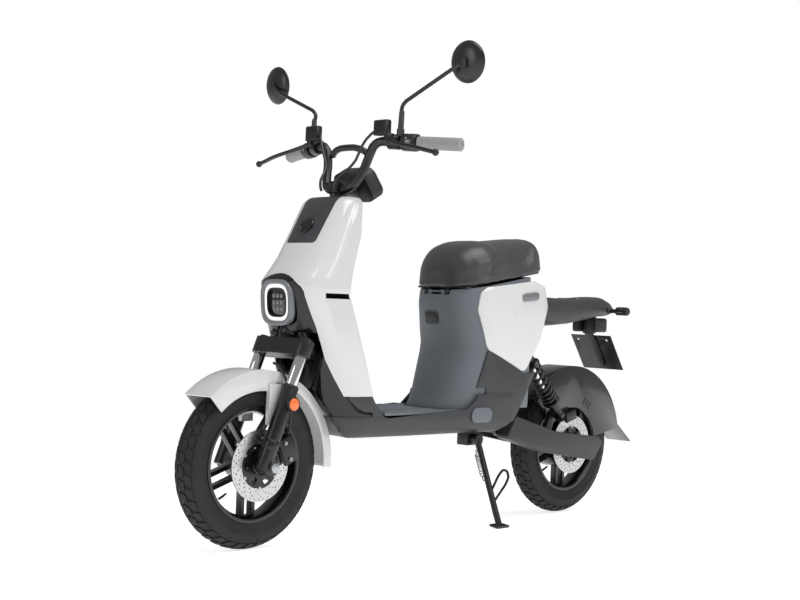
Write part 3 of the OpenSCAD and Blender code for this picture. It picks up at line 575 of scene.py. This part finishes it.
TREAD_PITCH = 9
tread_unit = joined(
    *(tread_block(side, 3, 27, 6.0, 0) for side in (1, -1)),
    *(tread_block(side, 31, 56, 6.4, 3.2) for side in (1, -1)),
    *(tread_block(side, 60, 72, 3.4, 7.5, SECTION_R - 1.4) for side in (1, -1)),
)
tread = repeated(tread_unit, int(360 / TREAD_PITCH), turn_by=(0, 0, radians(TREAD_PITCH)))
half_section = [(phi, SECTION_R - 3) for phi in range(0, 57, 7)] + [(59, SECTION_R - 1.2)]
half_section += [
    (phi, SECTION_R - (0 if phi in (92, 95) else 0.7)) for phi in (66, 76, 86, 92, 95, 98, 108, 116)
]
outline = [on_section(phi, r) for phi, r in half_section]
outline = [(x, y) for x, _, y in outline] + [(BEAD_R + 4, 25.6), (BEAD_R + 0.3, 24.2)]
outline = [(r, -y) for r, y in outline[::-1]] + outline[1:]
carcass = turned_shape(outline, 120)
for body, where in (("front", WHEELBASE), ("rear", 0)):
    for part, shape, crease in (("carcass", carcass, 50), ("tread", tread, 30)):
        piece(
            f"{body}_tyre_{part}",
            body + "_wheel",
            TYRE,
            placed(on_axle(where), shape),
            (body + "_tyre",) if part == "carcass" else (),
            0,
            crease,
        )
    for side in (1, -1):
        lip = [(BEAD_R - 4.6, 25), (BEAD_R + 2.6, 25), (BEAD_R + 3.2, 27.4), (BEAD_R - 3.6, 27.6)]
        piece(
            f"{body}_rim_lip_{'left' if side > 0 else 'right'}",
            body + "_wheel",
            ALLOY,
            placed(on_axle(where), turned_shape([(r, side * y) for r, y in lip], 96)),
            (),
            0.6,
        )
    valve = bar([(BEAD_R - 14, 0, 12), (BEAD_R - 24, 0, 17), (BEAD_R - 34, 0, 20)], [3.2, 3, 2.4], 10)
    piece(
        f"{body}_valve",
        body + "_wheel",
        PLASTIC,
        placed(on_axle(where) @ turn(40, "Z"), valve),
        (),
        0,
    )

# ---- Brake discs: ground rings with rows of holes, riveted to black carriers ----
for body, where, y, outer, inner in (
    ("front", WHEELBASE, FRONT_DISC_Y, FRONT_DISC_R, 20),
    ("rear", 0, REAR_DISC_Y, REAR_DISC_R, 36),
):
    place = on_axle(where) @ move(0, 0, y)
    ring = [(outer - 29, 0.6), (outer, 0.6), (outer, DISC_T - 0.4), (outer - 29, DISC_T - 0.4)]
    disc = piece(
        f"{body}_disc_ring",
        body + "_wheel",
        DISC_STEEL,
        placed(place, turned_shape(ring, 120)),
        (body + "_disc",),
        0,
    )
    holes = []
    for row, (r, count) in enumerate(((outer - 24, 18), (outer - 18, 18), (outer - 12, 18), (outer - 6, 36))):
        hole = placed(turn(row * 6.5, "Z") @ move(r, 0, 0), cylinder(1.9 if row < 3 else 1.5, -2, 8, 10))
        holes.append(repeated(hole, count, turn_by=(0, 0, 2 * pi / count)))
    cut(disc, placed(place, joined(*holes)))
    disc.data.materials.clear()
    disc.data.materials.append(DISC_STEEL)
    carrier = [(inner + 2, 0), (outer - 30, 0), (outer - 30, DISC_T), (inner + 2, DISC_T)]
    hub = piece(
        f"{body}_disc_carrier",
        body + "_wheel",
        CAST,
        placed(place, turned_shape(carrier, 96)),
        (),
        0,
    )
    window_r = (inner + outer - 28) / 2
    window = placed(move(window_r, 0, 0), slab(rounded(5.6 if inner > 30 else 9, 9, 3.5, 24), 8, -2))
    cut(hub, placed(place, repeated(window, 6, turn_by=(0, 0, pi / 3))))
    rivet = placed(move(outer - 31, 0, 0), cylinder(4.2, -0.4, DISC_T + 1.2, 16))
    piece(
        f"{body}_disc_rivets",
        body + "_wheel",
        ZINC,
        placed(place @ turn(30, "Z"), repeated(rivet, 6, turn_by=(0, 0, pi / 3))),
        (),
        0.3,
    )

# Caps and bolts of the hubs
for name, body, where, r, y in (
    ("front_hub_cap", "front_wheel", WHEELBASE, 19, 40), ("rear_hub_cap", "rear_wheel", 0, 34, 38)
):
    ring = [(9, y), (r, y), (r, y + 4.5), (r - 3, y + 6.5), (9, y + 6.5)]
    piece(name, body, ALLOY, placed(on_axle(where), turned_shape(ring, 64)), (), 0.5)
motor_bolts = repeated(bolt((52, 0, 40), Matrix.Identity(4), 4.2, 3), 8, turn_by=(0, 0, pi / 4))
piece(
    "motor_bolts_right",
    "rear_wheel",
    ZINC,
    placed(on_axle(0) @ turn(180, "X"), motor_bolts),
    (),
    0,
)

# ---- Headlight ----
LAMP = move(WHEELBASE - 70, 0, TYRE_D + 173) @ turn(95, "Y")


def frame_ring(outer, inner, low, high, squareness=3.4):
    """A flat ring between two rounded squares."""
    edges = ((outer, low), (outer, high), (inner, high), (inner, low))
    return skinned(
        [[(x, y, h) for x, y in rounded(half, half, squareness, 60)] for half, h in edges], closed=True
    )


lamp_house = slab(rounded(LAMP_HALF - 3.5, LAMP_HALF - 3.5, 3.4, 60), 7, -16)
piece("lamp_housing", "frame", PLASTIC, placed(LAMP, lamp_house), ("headlight",), 0.8)
piece("lamp_bezel", "frame", BEZEL, placed(LAMP, frame_ring(LAMP_HALF, 42, -8, 6)), (), 2.2)
piece("lamp_light_guide", "frame", LED, placed(LAMP, frame_ring(42.5, 33.5, -6, 2.2)), (), 1.6)
piece("lamp_inner_wall", "frame", NOSE, placed(LAMP, frame_ring(33.8, 30, -9, 3.2)), (), 0.8)
piece("lamp_lens", "frame", LENS, placed(LAMP, slab(rounded(31, 31, 3.4, 60), 3, -5)), (), 0.8)
chip = placed(move(-15, -13, -2.2), slab(rounded(4.6, 4.6, 5, 20), 1.2))
chips = joined(*(placed(move(0, 13 * k, 0), repeated(chip, 3, step=(15, 0, 0))) for k in range(3)))
piece("lamp_chips", "frame", BEZEL, placed(LAMP, chips), (), 0.3)

# ---- Plain round cap on the front panel, plain badges on the side panels ----
front_face = move(WHEELBASE - 149.6, 0, TYRE_D + 353) @ turn(60.4, "Y")
cap = [(0, -2), (21, -2), (21, 1.6), (19.6, 2.8), (17, 2.8), (16.2, 1.8), (0, 2.4)]
piece("front_cap", "frame", NOSE, placed(front_face, turned_shape(cap, 48)), (), 0)
for name, side in SIDES:
    pill = slab(rounded(36, 10.5, 4.5, 60), 2.2)
    place = side @ move(284, 113.6, TYRE_D + 212) @ turn(3.2, "Z") @ turn(-86.7, "X") @ turn(6, "Z")
    piece(f"side_badge_{name}", "frame", BEZEL, placed(place, pill), (), 0.8)

# ---- Handlebar fittings ----
BAR_END = Vector((WHEELBASE - 347, 294, TYRE_D + 547))
BAR_BEND = Vector((WHEELBASE - 276, 82, TYRE_D + 559))
ALONG = (BAR_END - BAR_BEND).normalized()
GRIP_AT = Matrix.Translation(BAR_END) @ ALONG.to_track_quat("Z", "Y").to_matrix().to_4x4()
PERCH = BAR_END - (GRIP_LEN + 62) * ALONG
grip_edge = [(BAR_R + 0.1, -GRIP_LEN), (GRIP_R, -GRIP_LEN), (GRIP_R, -GRIP_LEN + 4)]
for k in range(20):
    low = -GRIP_LEN + 7 + 4.6 * k
    grip_edge += [(GRIP_R - 0.5, low - 1.4), (GRIP_R - 0.2, low), (GRIP_R - 0.2, low + 1.8)]
grip_edge += [
    (GRIP_R - 1.2, -5),
    (GRIP_R, -4),
    (GRIP_R, 0.6),
    (GRIP_R - 2.4, 3),
    (6, 3),
    (5, 1),
    (0, 1),
    (0, 0.2),
    (BAR_R + 0.1, 0.2),
]
for name, side in SIDES:
    piece(
        f"grip_{name}",
        "fork",
        GRIP,
        placed(side @ GRIP_AT, turned_shape(grip_edge, 48)),
        ("grips",) if name == "left" else (),
        0,
        30,
    )
    collar = [
        (BAR_R + 9, -GRIP_LEN - 4),
        (BAR_R + 9.6, -GRIP_LEN - 6),
        (BAR_R + 9.6, -GRIP_LEN - 34),
        (BAR_R + 9, -GRIP_LEN - 36),
    ]
    collar += [(BAR_R + 8, -GRIP_LEN - 36), (BAR_R + 8, -GRIP_LEN - 4)]
    piece(
        f"switch_ring_{name}",
        "fork",
        PLASTIC,
        placed(side @ GRIP_AT, turned_shape(collar, 40)),
        (),
        0.5,
    )
    switch = joined(
        placed(move(-BAR_R - 8, 0, -GRIP_LEN - 20), block(5, 9, 14)),
        placed(move(-BAR_R - 7, 8, -GRIP_LEN - 26), block(4, 6, 6)),
    )
    piece(f"switch_buttons_{name}", "fork", BEZEL, placed(side @ GRIP_AT, switch), (), 1.2)
    lid_at = move(PERCH.x + 27.5, PERCH.y - 15.5, PERCH.z + 46)
    lid = slab(rounded(9.4, 21.4, 6, 40), 2.4)
    piece(f"reservoir_lid_{name}", "fork", PLASTIC, placed(side @ lid_at, lid), (), 0.8)
    screws = [bolt((0, y, 2.2), Matrix.Identity(4), 2.4, 1.4) for y in (-16, 16)]
    piece(
        f"reservoir_screws_{name}",
        "fork",
        ZINC,
        placed(side @ lid_at, joined(*screws)),
        (),
        0,
    )

# Mirrors: round domes on bent stems with grey sleeves
MIRROR_AT = move(WHEELBASE - 317, MIRROR_Y, MIRROR_Z) @ turn(4, "Z") @ turn(-84, "Y")
dome = [
    (0, -9.4),
    (14, -9),
    (27, -7),
    (37, -3.6),
    (43.5, 0.4),
    (47, 3.8),
    (MIRROR_R, 5.8),
    (47.4, 7),
    (45.4, 7),
    (45.4, 5.4),
    (0, 5.4),
]
stem_path = [
    PERCH + Vector((-2, 17, 66)),
    PERCH + Vector((-5, 11, 87)),
    (WHEELBASE - 296, MIRROR_Y - 29, MIRROR_Z - 20),
    (WHEELBASE - 305, MIRROR_Y - 8, MIRROR_Z - 6),
]
for name, side in SIDES:
    piece(
        f"mirror_dome_{name}",
        "fork",
        SHELL,
        placed(side @ MIRROR_AT, turned_shape(dome, 64)),
        ("mirrors",) if name == "left" else (),
        0,
    )
    glass = [(0, 5.6), (45, 5.6), (45, 6.6), (0, 6.6)]
    piece(
        f"mirror_glass_{name}",
        "fork",
        MIRROR,
        placed(side @ MIRROR_AT, turned_shape(glass, 64)),
        (),
        0,
    )
    piece(
        f"mirror_boss_{name}",
        "fork",
        PLASTIC,
        placed(side @ MIRROR_AT, block(22, 19, 9, (-3, 0, -11.5))),
        (),
        2.5,
    )
    piece(
        f"mirror_stem_{name}",
        "fork",
        STEEL,
        placed(side, bar(eased(stem_path, 3, 14), 4.6, 16)),
        (),
        0,
    )
    foot = PERCH + Vector((0, 17, 21))
    sleeve = bar(
        [
            foot - Vector((0, 0, 9)),
            foot + Vector((-0.3, 0, 8)),
            foot + Vector((-0.3, 0, 8.1)),
            foot + Vector((-1.8, 0, 46)),
            foot + Vector((-2, 0, 52)),
        ],
        [9, 9, 7, 6.4, 5],
        20,
    )
    piece(f"mirror_sleeve_{name}", "fork", DARK, placed(side, sleeve), (), 0)

POD_X, POD_Z = 830.84, TYRE_D + 451
POD = move(POD_X, 0, POD_Z) @ turn(-60, "Y")
glass = slab(rounded(30, 50, 3.6, 60), 1.6, 39.4)
piece("display_window", "fork", SCREEN, placed(POD, glass), (), 0.5)

# ---- Fork ----
SLIDER_TOP = (TYRE_D - 19 - TYRE_R) / cos(CASTER)
CROWN_TOP = (TYRE_D + 64 - TYRE_R) / cos(CASTER) + 25
for name, side in SIDES:
    leg = side @ FORK @ move(0, LEG_Y, 0)
    seal_and_shade_plate = [
        (14, SLIDER_TOP - 2),
        (18.6, SLIDER_TOP - 2),
        (18.6, SLIDER_TOP + 5),
        (16.6, SLIDER_TOP + 8),
        (14, SLIDER_TOP + 8),
    ]
    piece(f"fork_seal_{name}", "fork", PLASTIC, placed(leg, turned_shape(seal_and_shade_plate, 40)), (), 0.4)
    cap = [
        (0, CROWN_TOP - 1), (15, CROWN_TOP - 1), (15, CROWN_TOP + 4), (13, CROWN_TOP + 6), (0, CROWN_TOP + 6)
    ]
    piece(f"fork_cap_{name}", "fork", STEEL, placed(leg, turned_shape(cap, 6)), (), 0.6)
    bands = [(18, 40), (19.4, 42), (19.4, 60), (18, 62)]
    piece(
        f"fork_band_{name}",
        "fork",
        CAST,
        placed(leg, turned_shape(bands + [(17, 62), (17, 40)], 40)),
        (),
        0.4,
    )
    lamp_at = side @ FORK @ move(-4, LEG_Y + 18.4, SLIDER_TOP - 34) @ turn(-90, "X")
    holder = [(0, 0), (17, 0), (17, 7), (15.6, 9.4), (14.4, 9.4), (14.4, 6), (0, 6)]
    piece(
        f"reflector_holder_{name}",
        "fork",
        PLASTIC,
        placed(lamp_at, turned_shape(holder, 48)),
        ("fork_reflectors",) if name == "left" else (),
        0,
    )
    face = [(0, 6.2), (14.2, 6.2), (14.2, 8.6), (12, 10.4), (7, 11.6), (0, 12)]
    piece(f"reflector_{name}", "fork", ORANGE, placed(lamp_at, turned_shape(face, 48)), (), 0)

front_line = [
    (1084, 34, TYRE_D + 38),
    (1066, 54, TYRE_D + 22),
    (1046, 57, TYRE_D - 60),
    (1042, 53, TYRE_D - 110),
    (1048, 50, TYRE_D - 132),
]
piece("front_brake_line", "fork", HOSE, bar(eased(front_line, 3, 26), 3, 12), (), 0)
caliper_bolts = [bolt((FRONT_DISC_R - 8, y, FRONT_DISC_Y + 19), turn(205, "Z"), 5, 4) for y in (-20, 20)]
piece(
    "front_caliper_bolts",
    "fork",
    ZINC,
    placed(on_axle(WHEELBASE), joined(*caliper_bolts)),
    (),
    0,
)

# ---- Rear: shock absorbers, lamps, fender details ----
TOP, LOW = Vector((250, 83, TYRE_D + 50)), Vector((113, 83, TYRE_R + 90))
SHOCK = Matrix.Translation(LOW) @ (TOP - LOW).to_track_quat("Z", "Y").to_matrix().to_4x4()
REACH = (TOP - LOW).length


def coil(radius, wire, low, high, turns, sides=10):
    """A spring whose turns stand closer together at its low end."""
    steps = int(turns * 24)
    path = []
    for k in range(steps + 1):
        share = k / steps
        height = low + (high - low) * (0.55 * share + 0.45 * share**2)
        path.append((radius * cos(2 * pi * turns * share), radius * sin(2 * pi * turns * share), height))
    return bar(path, wire, sides)


def eye(at_height):
    ring = [(5.4, -9), (14, -9), (16.5, -7), (16.5, 7), (14, 9), (5.4, 9)]
    return placed(move(0, 0, at_height) @ turn(90, "X"), turned_shape(ring, 32))


for name, side in SIDES:
    place = side @ SHOCK
    damper = joined(
        turned_shape([(0, 12), (11, 12), (12.5, 16), (12.5, 92), (11, 95), (0, 95)], 40),
        turned_shape([(0, 44), (23, 44), (24, 45.5), (24, 49), (22, 51), (0, 51)], 48),
        turned_shape(
            [
                (0, REACH - 25),
                (22, REACH - 25),
                (24, REACH - 23),
                (24, REACH - 19.5),
                (14, REACH - 12),
                (0, REACH - 12),
            ],
            48,
        ),
        eye(0),
        eye(REACH),
    )
    piece(
        f"shock_body_{name}",
        "frame",
        CAST,
        placed(place, damper),
        ("shock_absorbers",) if name == "left" else (),
        0.5,
    )
    piece(
        f"shock_rod_{name}",
        "frame",
        CHROME,
        placed(place, cylinder(5.5, 90, REACH - 14)),
        (),
        0,
    )
    piece(
        f"shock_spring_{name}",
        "frame",
        STEEL,
        placed(place, coil(19.2, 3.6, 52.5, REACH - 27, 7.5)),
        (),
        0,
    )

for name, side in SIDES:
    stalk_at = side @ move(-130, 59, TYRE_D + 184) @ turn(-90, "X")
    stalk = turned_shape([(0, 0), (9, 0), (9, 3), (6, 7), (6, 30), (0, 30)], 32)
    lamp = turned_shape(
        [(0, 27), (8, 27), (11.4, 30), (12, 34), (12, 60), (11, 65.5), (8, 68.6), (0, 69)], 40
    )
    piece(
        f"turn_signal_{name}",
        "frame",
        PLASTIC,
        placed(stalk_at, joined(stalk, lamp)),
        ("rear_turn_signals",) if name == "left" else (),
        0,
        30,
    )
    lens_ring = [(11.6, 38), (12.15, 38.4), (12.15, 56), (11.6, 56.4)]
    piece(
        f"turn_signal_band_{name}",
        "frame",
        LENS,
        placed(stalk_at, turned_shape(lens_ring, 40)),
        (),
        0,
    )
    lobe_at = side @ move(-122, 28, TYRE_D + 142.2)
    lobe = placed(turn(90, "Y"), slab(rounded(20.2, 13.6, 5, 40), 54, -27))
    piece(
        f"tail_lamp_{name}",
        "frame",
        PLASTIC,
        placed(lobe_at, lobe),
        ("tail_light",) if name == "left" else (),
        2.5,
    )
    pane = placed(turn(90, "Y"), slab(rounded(17.6, 11, 5, 40), 3, -28))
    piece(f"tail_lens_{name}", "frame", RED, placed(lobe_at, pane), (), 0.8)
    slot_at = side @ move(-62, 44.4, TYRE_R + 112) @ turn(-90, "X") @ turn(62, "Z")
    vent = placed(move(0, -13, 0), slab(rounded(12, 2.6, 3, 24), 1.4))
    piece(
        f"fender_vents_{name}",
        "frame",
        PLASTIC,
        placed(slot_at, repeated(vent, 3, step=(0, 13, 0))),
        (),
        0.3,
    )

# Plate: a blank backing plate with a raised rim, and a hoop on each face
moulded("number_plate", PLASTIC, 0.8)
PLATE = move(-128, 0, TYRE_D + 113) @ turn(35, "Y")
ribs = [block(2, 3, 112, (-1.4, y, -59)) for y in (-66, 66)] + [
    block(2, 132, 3, (-1.4, 0, z)) for z in (-3.5, -114.5)
]
piece("plate_ribs", "frame", PLASTIC, placed(PLATE, joined(*ribs)), (), 0.5)
hoop = bar(eased([(-0.6, -13, -16), (-0.6, -13, -84), (-0.6, 13, -84), (-0.6, 13, -16)], 3, 9), 2.2, 12)
front_hoop = placed(move(3.4, 0, 0), hoop)
piece("plate_hoops", "frame", PLASTIC, placed(PLATE, joined(hoop, front_hoop)), (), 0)

# Tail screws
tail_screws = [
    bolt((x, y, TYRE_D + z), Matrix.Identity(4), 4.6, 2.4)
    for x, z in ((150, 213.2), (-20, 214))
    for y in (-30, 30)
]
piece("tail_screws", "frame", ZINC, joined(*tail_screws), (), 0)

# ---- Floor: two raised pads with rows of ribs ----
for name, side in SIDES:
    pad = slab(rounded(88, 42, 7, 48, (700, 57)), 2, FLOOR_Z - 0.4)
    piece(f"floor_pad_{name}", "frame", FLOOR_PAD, placed(side, pad), (), 0.8)
    rib = placed(move(624, 57, FLOOR_Z + 1.4), slab(rounded(3.2, 34, 6, 20), 1.6))
    piece(
        f"floor_ribs_{name}",
        "frame",
        FLOOR_PAD,
        placed(side, repeated(rib, 13, step=(12.6, 0, 0))),
        (),
        0.5,
    )

# A dark plate under the seat box blocks the slit between the floorboard and the lower body: painted shade, so
# the slit shows dark instead of the backdrop
seal_and_shade_plate = block(150, 222, 1.8, (497, 0, FLOOR_Z - 8.2))
piece("slit_shade_plate", "frame", PLASTIC, seal_and_shade_plate, (), 0.4)

# Charging flap on the seat box
flap_at = move(519, -15, TYRE_D + 150) @ turn(-2, "Z") @ turn(101.5, "Y")
piece(
    "charging_flap",
    "frame",
    PLASTIC,
    placed(flap_at, slab(rounded(14.5, 21, 4, 40), 5.2, -3)),
    (),
    1.2,
)
piece(
    "flap_rim",
    "frame",
    DARK,
    placed(
        flap_at,
        skinned(
            [
                [(x, y, h) for x, y in rounded(a, b, 5, 40)]
                for a, b, h in ((18, 24.5, -3), (18, 24.5, 1.6), (15.2, 21.7, 1.6), (15.2, 21.7, -3))
            ],
            closed=True,
        ),
    ),
    (),
    0.6,
)

# Side stand's spring and foot tang
PIVOT, FOOT = Vector((456, 98, TYRE_D - 154)), Vector((484, 206, 24))
LEG = Matrix.Translation(PIVOT) @ (FOOT - PIVOT).to_track_quat("Z", "Y").to_matrix().to_4x4()
ahead, outward = (LEG.inverted().to_3x3() @ Vector(way) for way in ((1, 0, 0), (-0.7, 0.7, 0)))
beside = Vector((ahead.x, ahead.y, 0)).normalized() * 16
wire_hooks = joined(
    bar([Vector((0, 0, 30)), beside + Vector((0, 0, 32)), beside + Vector((0, 0, 42))], 1.8, 8),
    bar([beside + Vector((0, 0, 100)), beside + Vector((0, 0, 112)), Vector((0, 0, 114))], 1.8, 8),
)
piece(
    "stand_spring",
    "side_stand",
    ZINC,
    placed(LEG @ Matrix.Translation(beside), coil(4.6, 1.5, 42, 100, 12, 8)),
    (),
    0,
)
piece("stand_spring_hooks", "side_stand", ZINC, placed(LEG, wire_hooks), (), 0)
outward = Vector((outward.x, outward.y, 0)).normalized()
tang = [
    out * outward + Vector((0, 0, down))
    for out, down in ((2, 140), (36, 96), (50, 90), (56, 104), (50, 122), (2, 168))
]
tang = eased(tang, 3, 12)
piece("stand_tang", "side_stand", STEEL, placed(LEG, bar(tang, 3.4, 12)), (), 0)

# ---- Seat: a moulded cushion under a tight cover with two pressed creases ----
VOXEL, SWELL_LIMIT = 0.005, 0.006  # metres
PRESSURE, STIFFNESS, SMOOTHINGS = 4, 25, 7
HELD_EDGE = 6  # millimetres above the seat base that stay put
FREE_OVER = 18  # millimetres above those over which the cover gets free


def seat_line(x):
    return SEAT_LOW + (SEAT_FRONT - x) * SEAT_SLOPE


def swell(thing):
    """Lets the cover fill out under pressure and keeps its lower edge crisp."""
    pad = thing.modifiers.new("voxels", "REMESH")
    pad.mode, pad.voxel_size = "VOXEL", VOXEL
    settle(thing)
    before = [v.co.copy() for v in thing.data.vertices]
    cover = thing.modifiers.new("cover", "CLOTH")
    cover.settings.use_pressure = True
    cover.settings.uniform_pressure_force = PRESSURE
    cover.settings.effector_weights.gravity = 0
    cover.settings.tension_stiffness = cover.settings.compression_stiffness = STIFFNESS
    for step in range(1, 21):
        bpy.context.scene.frame_set(step)
    settle(thing)
    upright = STAND.inverted()
    for v, start in zip(thing.data.vertices, before):
        drawn = upright @ start
        free = min(max((drawn.z - seat_line(drawn.x) - HELD_EDGE) / FREE_OVER, 0), 1)
        shift = v.co - start
        if shift.length > SWELL_LIMIT:
            shift *= SWELL_LIMIT / shift.length
        v.co = start + shift * free


def press_creases(thing):
    """A saddle with hollow flanks between a crease behind the nose and one ahead of the tail."""
    upright = STAND.inverted()
    for v in thing.data.vertices:
        p = upright @ v.co
        high = min(max((p.z - seat_line(p.x) - 16) / 66, 0), 1)
        front, back = SEAT_FRONT - 74 - 44 * high, SEAT_REAR + 92 - 50 * high
        into = min(max((front - p.x) / 24, 0), 1) * min(max((p.x - back) / 30, 0), 1)
        into *= into * (3 - 2 * into)
        flank = min(abs(p.y) / SEAT_HALF, 1)
        p.y *= 1 - 0.16 * into * min(4 * high * (1 - high) + 0.4 * high, 1) * flank
        p.z -= (4 + 6 * flank**2) * into * high**2
        v.co = STAND @ p
    even = bmesh.new()
    even.from_mesh(thing.data)
    upper = [v for v in even.verts if (upright @ v.co).z > seat_line((upright @ v.co).x) + 12]
    for _ in range(SMOOTHINGS):
        bmesh.ops.smooth_vert(
            even, verts=upper, factor=0.5, use_axis_x=True, use_axis_y=True, use_axis_z=True
        )
    even.to_mesh(thing.data)
    even.free()


pad = frame["nodes"]["seat_cushion"].data.copy()
seat = bpy.data.objects.new("seat_pad", pad)
bpy.context.scene.collection.objects.link(seat)
shape = bmesh.new()
shape.from_mesh(pad)
bmesh.ops.remove_doubles(shape, verts=shape.verts, dist=WELD)
seat_middle = (SEAT_FRONT + SEAT_REAR) / 2
middle = STAND @ Vector((seat_middle, 0, seat_line(seat_middle) + 40))
bmesh.ops.scale(shape, vec=(0.975, 0.975, 0.97), verts=shape.verts, space=Matrix.Translation(-middle))
shape.to_mesh(pad)
shape.free()
swell(seat)
press_creases(seat)
round_over = seat.modifiers.new("smooth", "SUBSURF")
round_over.levels = round_over.render_levels = 1
settle(seat)
seat.data.shade_smooth()
seat.data.materials.clear()
seat.data.materials.append(VINYL)
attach(seat, "seat")
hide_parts("seat_cushion")

# ---- Floor, light and air ----
floor_mesh = bpy.data.meshes.new("studio_floor")
floor_mesh.from_pydata(
    [(-40, -40, -0.001), (40, -40, -0.001), (40, 40, -0.001), (-40, 40, -0.001)], [], [(0, 1, 2, 3)]
)
floor = bpy.data.objects.new("studio_floor", floor_mesh)
bpy.context.scene.collection.objects.link(floor)
floor_mesh.materials.append(
    finish("white_studio_floor", "#f0f0f0", 0.9, grain=4, relief=0, wear=0.02, glow=0.8)
)

world = bpy.data.worlds.new("studio")
bpy.context.scene.world = world
world.use_nodes = True
sky = world.node_tree
background = sky.nodes["Background"]
background.inputs[0].default_value = (1, 1, 1, 1)
ray = node(sky, "ShaderNodeLightPath")
brightness = node(
    sky, "ShaderNodeMapRange", {"Value": ray.outputs["Is Camera Ray"], "To Min": 0.34, "To Max": 1.0}
)
sky.links.new(brightness.outputs[0], background.inputs[1])
bpy.context.scene.view_settings.view_transform = "Standard"
MIDDLE = Vector((0, 0, 0.5))


def softbox(name, at, size, watts):
    light = bpy.data.lights.new(name, "AREA")
    light.energy, light.shape, light.size, light.size_y = watts, "RECTANGLE", size[0], size[1]
    thing = bpy.data.objects.new(name, light)
    bpy.context.scene.collection.objects.link(thing)
    thing.location = at
    thing.rotation_euler = (MIDDLE - Vector(at)).to_track_quat("-Z", "Y").to_euler()


softbox("top_box", (0.1, 1.2, 3.2), (2.6, 2.0), 66)
softbox("left_box", (-1.0, 3.2, 2.3), (1.8, 1.2), 26)
softbox("front_box", (3.6, -0.4, 1.9), (1.0, 1.8), 20)
